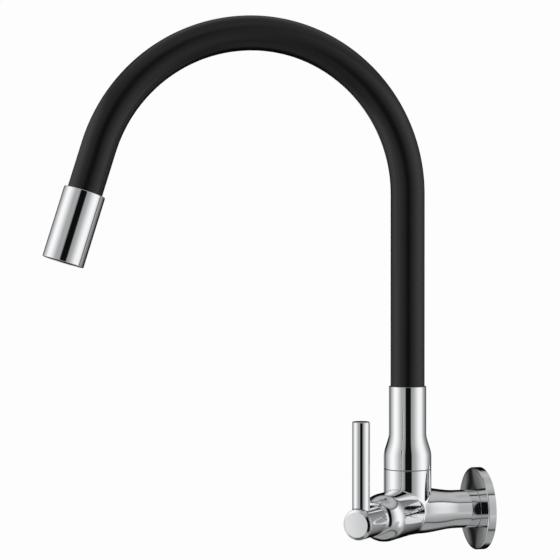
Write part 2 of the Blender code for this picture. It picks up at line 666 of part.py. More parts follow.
def make_handle(axes, group, cutters):
    """Hub, its screw and cap, and the lever rod on its stud."""
    recess_floor = HUB_REAR + HUB_RECESS_DEPTH
    web_back = SPINDLE_END + GAP
    web_front = web_back + HUB_WEB
    spline = SPLINE_RADIUS + GAP
    shank_hole = SCREW_SHANK_RADIUS + GAP
    outline = [(HUB_POCKET_RADIUS, HUB_FRONT), (HUB_RADIUS - HUB_CHAMFER, HUB_FRONT)]
    outline += [(HUB_RADIUS, HUB_FRONT - HUB_CHAMFER), (HUB_RADIUS, HUB_REAR + HUB_CHAMFER)]
    outline += [(HUB_RADIUS - HUB_CHAMFER, HUB_REAR), (HUB_RECESS_RADIUS, HUB_REAR)]
    outline += [(HUB_RECESS_RADIUS, recess_floor), (spline, recess_floor), (spline, web_back)]
    outline += [(shank_hole, web_back), (shank_hole, web_front), (HUB_POCKET_RADIUS, web_front)]
    hub = turned("handle_hub", outline, SHELL_STEPS, axes["handle"], group, chrome("hub_chrome"))
    stud_hole = drill_cutter(
        "stud_hole", [(0.0, 0.0)], STUD_RADIUS + GAP, STUD_FOOT - GAP, HUB_RADIUS + OVERRUN,
        axes["lever"], cutters, SMALL_STEPS,
    )
    shape_with(hub, stud_hole)

    head_back = web_front + GAP
    head_front = head_back + SCREW_HEAD_LENGTH
    screw = [(0.0, head_front), (SCREW_HEAD_RADIUS, head_front), (SCREW_HEAD_RADIUS, head_back)]
    screw += [(SCREW_SHANK_RADIUS, head_back), (SCREW_SHANK_RADIUS, head_back - SCREW_SHANK_LENGTH)]
    screw += [(0.0, head_back - SCREW_SHANK_LENGTH)]
    item = turned("hub_screw", screw, SMALL_STEPS, axes["handle"], group, stainless("screw_steel"))
    shape_with(item, drill_cutter(
        "screw_socket", [(0.0, 0.0)], SCREW_SOCKET_RADIUS, head_front - SCREW_SOCKET_DEPTH,
        head_front + OVERRUN, axes["handle"], cutters, 6,
    ))

    cap_radius = HUB_RADIUS - CAP_INSET
    stem = HUB_POCKET_RADIUS - GAP
    cap_back = HUB_FACE - CAP_THICKNESS
    cap = [(0.0, HUB_FACE)]
    cap += arc((cap_radius - CAP_ROUND, HUB_FACE - CAP_ROUND), CAP_ROUND, math.pi / 2, 0.0, 4)
    cap += [(cap_radius, cap_back), (stem, cap_back), (stem, cap_back - CAP_STEM_LENGTH)]
    cap += [(0.0, cap_back - CAP_STEM_LENGTH)]
    turned("hub_cap", cap, SHELL_STEPS, axes["handle"], group, chrome("cap_chrome"))

    bore = STUD_RADIUS + GAP
    bore_top = STUD_FOOT + STUD_LENGTH + GAP
    lever = [(0.0, LEVER_TOP)]
    lever += arc((LEVER_RADIUS - LEVER_ROUND, LEVER_TOP - LEVER_ROUND), LEVER_ROUND, math.pi / 2, 0.0, 3)
    lever += [(LEVER_RADIUS, LEVER_FOOT), (bore, LEVER_FOOT), (bore, bore_top), (0.0, bore_top)]
    rod = turned("lever_rod", lever, SHELL_STEPS, axes["lever"], group, chrome("lever_chrome"))
    saddle = disc_outline(HUB_RADIUS + GAP, HUB_REAR, HUB_FACE + OVERRUN)
    shape_with(rod, as_cutter(turned("lever_saddle", saddle, 2 * SHELL_STEPS, axes["handle"], cutters)))

    stud = disc_outline(STUD_RADIUS, STUD_FOOT, STUD_FOOT + STUD_LENGTH)
    turned("lever_stud", stud, SMALL_STEPS, axes["lever"], group, stainless("stud_steel"))


def make_spout_seat(axes, group, cutters):
    """Slip washer, the insert that turns in the neck, its O-rings and the split ring that holds it down."""
    washer = ring_outline(SOCKET_RADIUS + GAP, WASHER_SEAT_RADIUS - GAP, WASHER_BOTTOM, WASHER_TOP)
    turned("slip_washer", washer, SHELL_STEPS, axes["neck"], group, black_rubber("washer_acetal"))

    flange_bottom = WASHER_TOP + GAP
    flange_top = flange_bottom + TAIL_FLANGE_HEIGHT
    snap_top = SNAP_GROOVE_BOTTOM + SNAP_GROOVE_HEIGHT
    snap_floor = SNAP_RING_INNER_RADIUS - GAP
    cup_floor = TAIL_TOP - TAIL_CUP_DEPTH
    outline = [(TAIL_CUP_RADIUS, TAIL_TOP), (TAIL_SPIGOT_RADIUS, TAIL_TOP), (TAIL_SPIGOT_RADIUS, flange_top)]
    outline += [(TAIL_FLANGE_RADIUS, flange_top), (TAIL_FLANGE_RADIUS, flange_bottom)]
    outline += [(SPOUT_TAIL_RADIUS, flange_bottom), (SPOUT_TAIL_RADIUS, snap_top), (snap_floor, snap_top)]
    outline += [(snap_floor, SNAP_GROOVE_BOTTOM), (SPOUT_TAIL_RADIUS, SNAP_GROOVE_BOTTOM)]
    for bottom in (TAIL_RING_UPPER, TAIL_RING_LOWER):
        top = bottom + TAIL_RING_GROOVE_HEIGHT
        outline += [(SPOUT_TAIL_RADIUS, top), (TAIL_RING_GROOVE_RADIUS, top)]
        outline += [(TAIL_RING_GROOVE_RADIUS, bottom), (SPOUT_TAIL_RADIUS, bottom)]
    outline += [(SPOUT_TAIL_RADIUS, SOCKET_FLOOR + GAP), (TAIL_BORE_RADIUS, SOCKET_FLOOR + GAP)]
    outline += [(TAIL_BORE_RADIUS, cup_floor), (TAIL_CUP_RADIUS, cup_floor)]
    turned("spout_tail", outline, INNER_STEPS, axes["spout"], group, brass("tail_brass"))

    for name, bottom in (("tail_o_ring_lower", TAIL_RING_LOWER), ("tail_o_ring_upper", TAIL_RING_UPPER)):
        ring = round_ring_outline(
            TAIL_RING_GROOVE_RADIUS, SOCKET_RADIUS, bottom, bottom + TAIL_RING_GROOVE_HEIGHT
        )
        turned(name, ring, INNER_STEPS, axes["spout"], group, black_rubber(name + "_rubber"))

    snap_outer = SOCKET_RADIUS + SNAP_GROOVE_DEPTH - GAP
    snap = turned(
        "snap_ring",
        ring_outline(SNAP_RING_INNER_RADIUS, snap_outer, SNAP_GROOVE_BOTTOM + GAP, snap_top - GAP),
        INNER_STEPS, axes["neck"], group, stainless("snap_steel"),
    )
    mouth = box_cutter(
        "snap_mouth", (SNAP_RING_MOUTH, 2 * snap_outer, SNAP_GROOVE_HEIGHT + 2 * OVERRUN),
        (0.0, snap_outer, (SNAP_GROOVE_BOTTOM + snap_top) / 2), axes["neck"], cutters,
    )
    shape_with(snap, mouth)


def make_collar(axes, group):
    """Chrome reducing collar: wide over the insert's flange, then an S down to the hose."""
    skirt = NECK_RADIUS - COLLAR_WALL_BOTTOM
    rise = COLLAR_FLARE_TOP - COLLAR_FLARE_BOTTOM
    outline = [(HOSE_HOLE_RADIUS, COLLAR_TOP), (COLLAR_TOP_RADIUS - COLLAR_EDGE, COLLAR_TOP)]
    outline += [(COLLAR_TOP_RADIUS, COLLAR_TOP - COLLAR_EDGE)]
    outline += flare((COLLAR_TOP_RADIUS, COLLAR_FLARE_TOP), (NECK_RADIUS, COLLAR_FLARE_BOTTOM), 8)
    outline += [(NECK_RADIUS, COLLAR_BOTTOM + COLLAR_EDGE), (NECK_RADIUS - COLLAR_EDGE, COLLAR_BOTTOM)]
    outline += [(skirt, COLLAR_BOTTOM)]
    outline += flare((skirt, COLLAR_FLARE_BOTTOM), (HOSE_HOLE_RADIUS, COLLAR_FLARE_TOP - rise / 4), 6)
    turned("spout_collar", outline, SHELL_STEPS, axes["spout"], group, chrome("collar_chrome"))


def make_hose(axes, group):
    """Silicone sleeve, bendable steel core, water tube, and the ferrule that joins them to the insert."""
    hose_tube(
        "silicone_sleeve", SLEEVE_START, SLEEVE_IN_NOZZLE, HOSE_RADIUS, SLEEVE_WALL, HOSE_BEVEL_STEPS,
        axes["spout"], group, black_silicone("sleeve_silicone"),
    )
    hose_tube(
        "gooseneck_core", CORE_START, CORE_IN_NOZZLE, CORE_RADIUS, CORE_WALL, CORE_BEVEL_STEPS,
        axes["spout"], group, stainless("core_steel"),
    )
    hose_tube(
        "water_tube", CORE_START, CORE_IN_NOZZLE, WATER_TUBE_RADIUS, WATER_TUBE_WALL,
        WATER_TUBE_BEVEL_STEPS, axes["spout"], group, white_plastic("water_tube_plastic"),
    )
    cup_top = LOWER_CUP_FLOOR + FERRULE_CUP_LENGTH
    cup_radius = CORE_CUP_RADIUS + FERRULE_CUP_WALL
    spigot = TAIL_CUP_RADIUS - GAP
    spigot_bottom = TAIL_TOP - TAIL_CUP_DEPTH + GAP
    outline = [(CORE_CUP_RADIUS, cup_top), (cup_radius, cup_top), (cup_radius, LOWER_CUP_FLOOR)]
    outline += [(FERRULE_FLANGE_RADIUS, LOWER_CUP_FLOOR), (FERRULE_FLANGE_RADIUS, FERRULE_FLANGE_BOTTOM)]
    outline += [(spigot, FERRULE_FLANGE_BOTTOM), (spigot, spigot_bottom)]
    outline += [(FERRULE_BORE_RADIUS, spigot_bottom), (FERRULE_BORE_RADIUS, LOWER_CUP_FLOOR)]
    outline += [(CORE_CUP_RADIUS, LOWER_CUP_FLOOR)]
    turned("lower_ferrule", outline, INNER_STEPS, axes["spout"], group, brass("lower_ferrule_brass"))


def make_nozzle(axes, group, cutters):
    """Ferrule at the hose's end, the chrome nozzle sleeve, and the aerator inside it."""
    flange_bottom = TIP_CUP_FLOOR - TIP_FLANGE_HEIGHT
    spigot_bottom = flange_bottom - TIP_SPIGOT_LENGTH
    cup_radius = CORE_CUP_RADIUS + FERRULE_CUP_WALL
    outline = [(CORE_CUP_RADIUS, TIP_CUP_TOP), (cup_radius, TIP_CUP_TOP), (cup_radius, TIP_CUP_FLOOR)]
    outline += [(NOZZLE_BORE_RADIUS - GAP, TIP_CUP_FLOOR)]
    outline += [(NOZZLE_BORE_RADIUS - GAP, flange_bottom), (TIP_SPIGOT_RADIUS, flange_bottom)]
    outline += [(TIP_SPIGOT_RADIUS, spigot_bottom), (FERRULE_BORE_RADIUS, spigot_bottom)]
    outline += [(FERRULE_BORE_RADIUS, TIP_CUP_FLOOR), (CORE_CUP_RADIUS, TIP_CUP_FLOOR)]
    turned("tip_ferrule", outline, INNER_STEPS, axes["tip"], group, brass("tip_ferrule_brass"))

    edge = NOZZLE_RADIUS - NOZZLE_CHAMFER
    outline = [(HOSE_HOLE_RADIUS, 0.0), (edge, 0.0), (NOZZLE_RADIUS, -NOZZLE_CHAMFER)]
    outline += [(NOZZLE_RADIUS, NOZZLE_CHAMFER - NOZZLE_LENGTH), (edge, -NOZZLE_LENGTH)]
    outline += [(NOZZLE_BORE_RADIUS, -NOZZLE_LENGTH), (NOZZLE_BORE_RADIUS, -NOZZLE_CROWN)]
    outline += [(HOSE_HOLE_RADIUS, -NOZZLE_CROWN)]
    turned("nozzle_sleeve", outline, SHELL_STEPS, axes["tip"], group, chrome("nozzle_chrome"))

    washer_top = spigot_bottom - GAP
    washer_bottom = washer_top - AERATOR_WASHER_THICKNESS
    washer = ring_outline(AERATOR_WASHER_INNER_RADIUS, AERATOR_WASHER_RADIUS, washer_bottom, washer_top)
    turned("aerator_washer", washer, INNER_STEPS, axes["tip"], group, black_rubber("aerator_rubber"))

    insert_top = washer_bottom - GAP
    insert_bottom = insert_top - AERATOR_INSERT_LENGTH
    insert = turned(
        "aerator_insert", disc_outline(AERATOR_INSERT_RADIUS, insert_bottom, insert_top),
        INNER_STEPS, axes["tip"], group, white_plastic("aerator_plastic"),
    )
    places = []
    for radius, count in zip(JET_RING_RADII, JETS_PER_RING):
        places += ring_of_places(radius, count)
    shape_with(insert, drill_cutter(
        "aerator_jets", places, JET_RADIUS, insert_bottom - OVERRUN, insert_top + OVERRUN, axes["tip"],
        cutters, 6,
    ))

    bore = AERATOR_INSERT_RADIUS + GAP
    lip_top = insert_bottom - GAP
    housing_bottom = insert_top - AERATOR_HOUSING_LENGTH
    outline = [(bore, insert_top), (NOZZLE_BORE_RADIUS - GAP, insert_top)]
    outline += [(NOZZLE_BORE_RADIUS - GAP, housing_bottom), (AERATOR_LIP_RADIUS, housing_bottom)]
    outline += [(AERATOR_LIP_RADIUS, lip_top), (bore, lip_top)]
    turned("aerator_housing", outline, INNER_STEPS, axes["tip"], group, brass("aerator_brass"))


def settle(item):
    """Returns the finished shape of an object, with its modifiers applied, as a new mesh."""
    evaluated = item.evaluated_get(bpy.context.evaluated_depsgraph_get())
    mesh = bpy.data.meshes.new_from_object(evaluated)
    mesh.name = item.name
    return mesh


def make_axes(group):
    """Empties on the axes: local +Z runs out of the wall and barrel, and up the neck and the outlet."""
    out_of_wall = (math.pi / 2, 0.0, 0.0)
    out_of_barrel = (math.pi / 2, 0.0, HANDLE_TURN)
    middle = (0.0, -AXIS_OFFSET, 0.0)
    axes = {"wall": axis_empty("wall_axis", (0.0, 0.0, 0.0), out_of_wall, None, group)}
    axes["neck"] = axis_empty("neck_axis", middle, (0.0, 0.0, 0.0), None, group)
    axes["barrel"] = axis_empty("barrel_axis", middle, out_of_barrel, None, group)
    axes["handle"] = axis_empty("handle_axis", middle, out_of_barrel, None, group)
    upright = (-math.pi / 2, 0.0, 0.0)
    axes["lever"] = axis_empty("lever_axis", (0.0, 0.0, LEVER_REACH), upright, axes["handle"], group)
    axes["spout"] = axis_empty("spout_axis", middle, (0.0, 0.0, 0.0), None, group)
    crown = (0.0, -RISER_BEND_RADIUS, CROWN_HEIGHT)
    axes["bend"] = axis_empty("bend_axis", crown, (0.0, 0.0, 0.0), axes["spout"], group)
    end = hose_centreline(0.0)[-1]
    outlet = (0.0, end[1] + RISER_BEND_RADIUS, end[2] - CROWN_HEIGHT)
    tilt = REACH_BEND_SWEEP - math.pi / 2
    axes["tip"] = axis_empty("outlet_axis", outlet, (tilt, 0.0, 0.0), axes["bend"], group)
    return axes


clear_scene()
tap = new_collection("kitchen_tap")
cutters = new_collection("cutters")
axes = make_axes(tap)
make_valve_body(axes, tap, cutters)
make_wall_fittings(axes, tap, cutters)
make_discs(axes, tap, cutters)
make_bonnet(axes, tap, cutters)
make_spindle(axes, tap, cutters)
make_handle(axes, tap, cutters)
make_spout_seat(axes, tap, cutters)
make_collar(axes, tap)
make_hose(axes, tap)
make_nozzle(axes, tap, cutters)
bpy.context.view_layer.update()
finished = {item: settle(item) for item in tap.objects if item.type == "MESH"}
for item, mesh in finished.items():
    item.modifiers.clear()
    item.data = mesh
    mesh.shade_smooth()
    mesh.set_sharp_from_angle(angle=SHARP_ANGLE)
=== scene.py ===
"""Looks of a wall-mounted kitchen tap: chrome body with a lever valve, black gooseneck and chrome nozzle.

Metres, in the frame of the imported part: the origin is on the face of the wall at the axis of the supply,
+Z is up, +Y goes into the wall and +X is the user's right.
"""
import math

import bmesh
import bpy
import numpy as np
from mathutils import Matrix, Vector


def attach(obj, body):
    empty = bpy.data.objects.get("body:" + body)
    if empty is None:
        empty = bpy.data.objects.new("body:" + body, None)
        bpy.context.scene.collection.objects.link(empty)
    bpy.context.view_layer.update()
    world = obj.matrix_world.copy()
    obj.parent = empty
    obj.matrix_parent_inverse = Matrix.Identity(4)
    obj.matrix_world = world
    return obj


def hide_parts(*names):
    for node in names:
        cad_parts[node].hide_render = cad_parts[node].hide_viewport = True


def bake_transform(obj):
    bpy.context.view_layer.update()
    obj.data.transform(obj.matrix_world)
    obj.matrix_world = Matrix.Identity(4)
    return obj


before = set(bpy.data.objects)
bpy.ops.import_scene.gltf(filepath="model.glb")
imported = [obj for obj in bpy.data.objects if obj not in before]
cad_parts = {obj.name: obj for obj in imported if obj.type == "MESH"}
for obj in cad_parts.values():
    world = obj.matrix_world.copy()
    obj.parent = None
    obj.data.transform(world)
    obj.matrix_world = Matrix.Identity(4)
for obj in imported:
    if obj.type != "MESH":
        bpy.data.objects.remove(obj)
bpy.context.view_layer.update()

# Camera
# The photograph looks at the tap from its right with a long lens, a little above the valve. The line of sight
# is turned from the wall's plane towards the user, and the spout's axis stands right of the middle.
VIEW_TURN = math.radians(14.78)
FOCAL_PIXELS = 1700.0
PHOTO_PIXELS = 560.0
METRES_PER_PIXEL = 0.0006825
AXIS_COLUMN = 407.6
AXIS_ROW = 511.0
HORIZON_ROW = 268.0
SENSOR_WIDTH = 36.0
NEAR_CLIP = 0.05
WALL_REACH = 0.054
SPOUT_AXIS = Vector((0.0, -WALL_REACH, 0.0))

look = Vector((-math.cos(VIEW_TURN), math.sin(VIEW_TURN), 0.0))
camera_right = Vector((math.sin(VIEW_TURN), math.cos(VIEW_TURN), 0.0))
distance = FOCAL_PIXELS * METRES_PER_PIXEL
lateral = (AXIS_COLUMN - PHOTO_PIXELS / 2) * METRES_PER_PIXEL
pitch = math.atan((PHOTO_PIXELS / 2 - HORIZON_ROW) / FOCAL_PIXELS)
lens = bpy.data.cameras.new("camera")
lens.sensor_width = SENSOR_WIDTH
lens.lens = FOCAL_PIXELS / PHOTO_PIXELS * SENSOR_WIDTH
lens.clip_start = NEAR_CLIP
camera = bpy.data.objects.new("camera", lens)
camera.location = SPOUT_AXIS - look * distance - camera_right * lateral
camera.location.z = (AXIS_ROW - HORIZON_ROW) * METRES_PER_PIXEL
aim = look * math.cos(pitch) + Vector((0.0, 0.0, -math.sin(pitch)))
camera.rotation_euler = aim.to_track_quat("-Z", "Y").to_euler()
bpy.context.scene.collection.objects.link(camera)
bpy.context.scene.camera = camera
bpy.context.scene.view_settings.view_transform = "Standard"


# Shader wires and meshes
# What every material and every worked-out piece is made with.
MERGE_DISTANCE = 0.0000015
SHARP_ANGLE = math.radians(32)


class Wire:
    """A shader socket that Python's arithmetic works on: each operator adds a Math node to the same tree."""

    def __init__(self, tree, socket=None):
        self.tree, self.socket = tree, socket

    def add(self, kind, settings=None, values=None, output=0):
        """Adds a node: its settings or a ramp's stops go in first, then the values or wires of its sockets."""
        node = self.tree.nodes.new(kind)
        for key, value in (settings or {}).items():
            if key == "stops":
                ramp = node.color_ramp
                while len(ramp.elements) < len(value):
                    ramp.elements.new(1.0)
                for element, (place, level) in zip(ramp.elements, value):
                    element.position = place
                    element.color = (level, level, level, 1.0)
            else:
                setattr(node, key, value)
        for key, value in (values or {}).items():
            if isinstance(value, Wire):
                self.tree.links.new(value.socket, node.inputs[key])
            else:
                node.inputs[key].default_value = value
        return Wire(self.tree, node.outputs[output]) if len(node.outputs) else None

    def maths(self, operation, *terms):
        return self.add("ShaderNodeMath", {"operation": operation}, dict(enumerate(terms)))

    def __add__(self, other):
        return self.maths("ADD", self, other)

    def __sub__(self, other):
        return self.maths("SUBTRACT", self, other)

    def __rsub__(self, other):
        return self.maths("SUBTRACT", other, self)

    def __mul__(self, other):
        return self.maths("MULTIPLY", self, other)

    __radd__ = __add__
    __rmul__ = __mul__

    def step(self, low, high, start=0.0, end=1.0):
        """Smooth step from start to end, as the value goes from low to high."""
        return self.add(
            "ShaderNodeMapRange", {"interpolation_type": "SMOOTHSTEP"},
            {"Value": self, "From Min": low, "From Max": high, "To Min": start, "To Max": end},
        )

    def dot(self, direction):
        return self.add(
            "ShaderNodeVectorMath", {"operation": "DOT_PRODUCT"}, {0: self, 1: direction}, output="Value",
        )

    def noise(self, scale, detail, **more):
        return self.add("ShaderNodeTexNoise", values={"Vector": self, "Scale": scale, "Detail": detail, **more})

    def seen_itself(self):
        """1 for a ray from the camera, a mirror or a glass, and 0 for one that only gathers plain light."""
        seen = self.add("ShaderNodeLightPath", output="Is Camera Ray")
        seen = seen + self.add("ShaderNodeLightPath", output="Is Glossy Ray")
        return seen + self.add("ShaderNodeLightPath", output="Is Transmission Ray")


def new_material(name):
    """A material with an empty tree, a wire on that tree, and the wire of the object's coordinates."""
    material = bpy.data.materials.new(name)
    material.use_nodes = True
    material.node_tree.nodes.clear()
    tree = Wire(material.node_tree)
    return material, tree, tree.add("ShaderNodeTexCoord", output="Object")


def grid_faces(rows, columns, closed_rows=False):
    """Four-sided faces between neighbours of a grid of points whose columns run all the way round."""
    row = np.arange(rows if closed_rows else rows - 1)
    column = np.arange(columns)
    row, column = np.meshgrid(row, column, indexing="ij")
    below, beside = (row + 1) % rows, (column + 1) % columns
    corners = (
        row * columns + column, row * columns + beside, below * columns + beside, below * columns + column,
    )
    return np.stack(corners, axis=-1).reshape(-1, 4)


def new_piece(name, points, faces, material):
    """Makes an object of worked-out points and faces, with doubles merged and the faces turned outwards."""
    mesh = bpy.data.meshes.new(name)
    mesh.from_pydata(np.asarray(points).reshape(-1, 3).tolist(), [], np.asarray(faces).tolist())
    shape = bmesh.new()
    shape.from_mesh(mesh)
    bmesh.ops.remove_doubles(shape, verts=shape.verts, dist=MERGE_DISTANCE)
    bmesh.ops.recalc_face_normals(shape, faces=shape.faces)
    shape.to_mesh(mesh)
    shape.free()
    mesh.shade_smooth()
    mesh.set_sharp_from_angle(angle=SHARP_ANGLE)
    mesh.materials.append(material)
    piece = bpy.data.objects.new(name, mesh)
    bpy.context.scene.collection.objects.link(piece)
    return piece


# Light tent
# Chrome shows what stands round it, so the tap hangs in a tent of white cloth with grey and black cards, as in
# a product photographer's studio. Only reflections see the tent. Behind the tap the camera sees plain white.
# Places in the tent go by bearing, in degrees from the camera's side and positive to its right, and by height,
# as the sine of the elevation. Each pair of numbers is a soft edge.
TENT_RADIUS = 2.5
TENT_ROWS = 33
TENT_COLUMNS = 64
BACKGROUND = 0.982
WORLD_LIGHT = 0.72
WHITE = (1.0, 1.0, 1.0, 1.0)
WALL_STOPS = (
    (-180, 0.004), (-141.4, 0.012), (-139.6, 0.19), (-134, 0.24), (-128, 0.40), (-119, 0.52), (-109, 0.69),
    (-99, 0.88), (-90, 1.08), (-80, 1.10), (-72, 1.04), (-63, 0.86), (-53, 0.66), (-43, 0.44), (-27, 0.43),
    (-19, 0.34), (-16, 0.02), (-14, 0.005), (12, 0.005), (14, 0.03), (17, 0.34), (28, 0.43), (36, 0.50),
    (44, 0.68), (55, 0.88), (66, 1.04), (80, 1.08), (93, 0.96), (103, 0.66), (115, 0.42), (130, 0.26),
    (158, 0.004),
)
ROOF_STOPS = (
    (-90, 0.30), (-78, 0.36), (-66, 0.36), (-55, 0.33), (-53, 0.11), (-49, 0.11), (-47, 0.34), (-40, 0.38),
    (-32, 0.42), (-22, 0.52), (-12, 0.62), (0, 0.62), (37, 0.50), (39, 0.10), (42, 0.10), (44, 0.36),
    (52, 0.48), (62, 0.54), (71, 0.43), (80, 0.35),
)
WALLS_BOTTOM = (-0.62, -0.42)
WALLS_TOP = (0.61, 0.64)
BEHIND_SIDE = (130, 142)
BEHIND_BOTTOM = (-0.94, -0.84)
BEHIND_TOP = (0.45, 0.75)
LOW_CARD_LEFT = (20, 35)
LOW_CARD_RIGHT = (72, 82)
LOW_CARD_TOP = (-0.26, -0.16)
GLEAM_LEFT = (-170, -165)
GLEAM_RIGHT = (-145, -143.4)
GLEAM_FADE = (-154, -144)
GLEAM_LEVELS = (0.32, 0.12)
GLEAM_BOTTOM = (-0.23, -0.19)
GLEAM_TOP = (-0.03, 0.04)


def at_bearing(*angles):
    """Values of the bearing, 0 to 1, at angles in degrees from the camera's side."""
    return [(degrees + 180.0) / 360.0 for degrees in angles]


tent_cloth, tent, spot = new_material("tent_cloth")
ahead = spot.dot(tuple(-look)) * (1.0 / TENT_RADIUS)
beside = spot.dot(tuple(camera_right)) * (1.0 / TENT_RADIUS)
upward = spot.dot((0.0, 0.0, 1.0)) * (1.0 / TENT_RADIUS)
bearing = beside.maths("ARCTAN2", beside, ahead) * (0.5 / math.pi) + 0.5
height = upward.maths("ARCSINE", upward) * (1.0 / math.pi) + 0.5
walls = bearing.add("ShaderNodeValToRGB", {
    "stops": [(at_bearing(degrees)[0], level) for degrees, level in WALL_STOPS],
}, {"Fac": bearing})
roof = height.add("ShaderNodeValToRGB", {
    "stops": [(degrees / 180.0 + 0.5, level) for degrees, level in ROOF_STOPS],
}, {"Fac": height})

# The walls give way to roof and floor above and below, but behind the tap they keep their black further, which
# draws the dark lines along the chrome's edges. Low on the right the floor's greys come up the wall.
sideways = (bearing - 0.5).maths("ABSOLUTE", bearing - 0.5)
behind = sideways.step(*(degrees / 360 for degrees in BEHIND_SIDE))
behind = behind * upward.step(*BEHIND_BOTTOM) * upward.step(*BEHIND_TOP, 1.0, 0.0)
beyond_walls = upward.step(*WALLS_BOTTOM, 1.0, 0.0) + upward.step(*WALLS_TOP)
low_card = bearing.step(*at_bearing(*LOW_CARD_LEFT)) * bearing.step(*at_bearing(*LOW_CARD_RIGHT), 1.0, 0.0)
low_card = low_card * upward.step(*LOW_CARD_TOP, 1.0, 0.0)
shaded = beyond_walls.maths("MAXIMUM", beyond_walls, low_card) * (1.0 - behind)

# A faint light card stands behind the tap on its left. The flange's face, seen nearly edge on, mirrors it as a
# grey band.
gleam = bearing.step(*at_bearing(*GLEAM_LEFT)) * bearing.step(*at_bearing(*GLEAM_RIGHT), 1.0, 0.0)
gleam = gleam * bearing.step(*at_bearing(*GLEAM_FADE), *GLEAM_LEVELS)
gleam = gleam * upward.step(*GLEAM_BOTTOM) * upward.step(*GLEAM_TOP, 1.0, 0.0)
cloth = walls + (roof - walls) * shaded + gleam
glow = tent.add("ShaderNodeEmission", values={"Color": cloth, "Strength": 1.0})
tent.add("ShaderNodeOutputMaterial", values={"Surface": glow})

latitude, longitude = np.meshgrid(
    np.linspace(-math.pi / 2, math.pi / 2, TENT_ROWS),
    np.arange(TENT_COLUMNS) * math.tau / TENT_COLUMNS, indexing="ij",
)
tent_points = TENT_RADIUS * np.stack(
    (np.cos(latitude) * np.cos(longitude), np.cos(latitude) * np.sin(longitude), np.sin(latitude)), axis=-1
)
light_tent = new_piece("light_tent", tent_points, grid_faces(TENT_ROWS, TENT_COLUMNS), tent_cloth)
light_tent.visible_camera = False
light_tent.visible_diffuse = False
light_tent.visible_transmission = False
light_tent.visible_volume_scatter = False
light_tent.visible_shadow = False

world = bpy.data.worlds.new("white_room")
bpy.context.scene.world = world
world.use_nodes = True
world.node_tree.nodes.clear()
room = Wire(world.node_tree)
plain = room.add("ShaderNodeBackground", values={"Color": WHITE, "Strength": WORLD_LIGHT})
white = room.add("ShaderNodeBackground", values={"Color": WHITE, "Strength": BACKGROUND})
sky = room.add("ShaderNodeMixShader", values={0: room.seen_itself(), 1: plain, 2: white})
room.add("ShaderNodeOutputWorld", values={"Surface": sky})


# Floor and lamps
# A plain pale floor well below the tap keeps its soft shadow, and runs into the white background further out.
# Two soft area lamps, left and right above the camera, give the plain light of the studio.
FLOOR_HEIGHT = -0.30
FLOOR_HALF = 2.4
FLOOR_COLOUR = (0.93, 0.93, 0.93, 1.0)
FLOOR_FADE = (0.7, 1.3)
LAMP_SIZE = 1.1
LAMP_DISTANCE = 1.0
LAMP_AIM = Vector((0.0, -0.15, 0.12))
LAMPS = (("left_lamp", -0.9, 1.3, 9.0), ("right_lamp", 0.9, 1.0, 5.0))

floor_paint, ground, spot = new_material("floor_paint")
away = ground.add("ShaderNodeVectorMath", {"operation": "LENGTH"}, {0: spot}, output="Value")
matt = ground.add("ShaderNodeBsdfDiffuse", values={"Color": FLOOR_COLOUR})
white = ground.add("ShaderNodeEmission", values={"Color": WHITE, "Strength": BACKGROUND})
fade = ground.seen_itself() * away.step(*FLOOR_FADE)
surface = ground.add("ShaderNodeMixShader", values={0: fade, 1: matt, 2: white})
ground.add("ShaderNodeOutputMaterial", values={"Surface": surface})
floor_mesh = bpy.data.meshes.new("floor")
floor_mesh.from_pydata(
    [(x * FLOOR_HALF, y * FLOOR_HALF, FLOOR_HEIGHT) for x, y in ((-1, -1), (1, -1), (1, 1), (-1, 1))],
    [], [(0, 1, 2, 3)],
)
floor_mesh.materials.append(floor_paint)
floor = bpy.data.objects.new("floor", floor_mesh)
bpy.context.scene.collection.objects.link(floor)
floor.visible_glossy = False

for lamp_name, side, rise, power in LAMPS:
    lamp_data = bpy.data.lights.new(lamp_name, "AREA")
    lamp_data.shape = "RECTANGLE"
    lamp_data.size, lamp_data.size_y = LAMP_SIZE, LAMP_SIZE
    lamp_data.energy = power
    lamp = bpy.data.objects.new(lamp_name, lamp_data)
    lamp.location = LAMP_AIM - look * LAMP_DISTANCE + camera_right * side + Vector((0.0, 0.0, rise))
    lamp.rotation_euler = (LAMP_AIM - lamp.location).to_track_quat("-Z", "Y").to_euler()
    lamp.visible_glossy = False
    lamp.visible_camera = False
    bpy.context.scene.collection.objects.link(lamp)


# Finishes
# Each runs between two tones by a broad noise on the object's own coordinates, which varies its gloss as well,
# and a finer noise lifts the surface a little.
CHROME_COLOUR = (0.86, 0.87, 0.88)
STEEL_COLOUR = (0.62, 0.62, 0.61)
WHITE_PLASTIC = (0.80, 0.80, 0.78)
BLACK_RUBBER = (0.03, 0.03, 0.032)


def shades(colour, low, high):
    """Two tones of a colour: times low and times high, up to full white."""
    return [tuple(min(1.0, c * share) for c in colour) for share in (low, high)]


def finished(material, tree, tones, factor, lift, sockets):
    """Ends a material: tones mixed by a factor, a bump of (strength, distance, height), and more sockets."""
    tone = tree.add("ShaderNodeMix", {"data_type": "RGBA"}, {
        "Factor": factor, "A": tones[0] + (1.0,), "B": tones[1] + (1.0,),
    }, output=2)
    bump = tree.add("ShaderNodeBump", values=dict(zip(("Strength", "Distance", "Height"), lift)))
    shader = tree.add("ShaderNodeBsdfPrincipled", values={"Base Color": tone, "Normal": bump, **sockets})
    tree.add("ShaderNodeOutputMaterial", values={"Surface": shader})
    return material


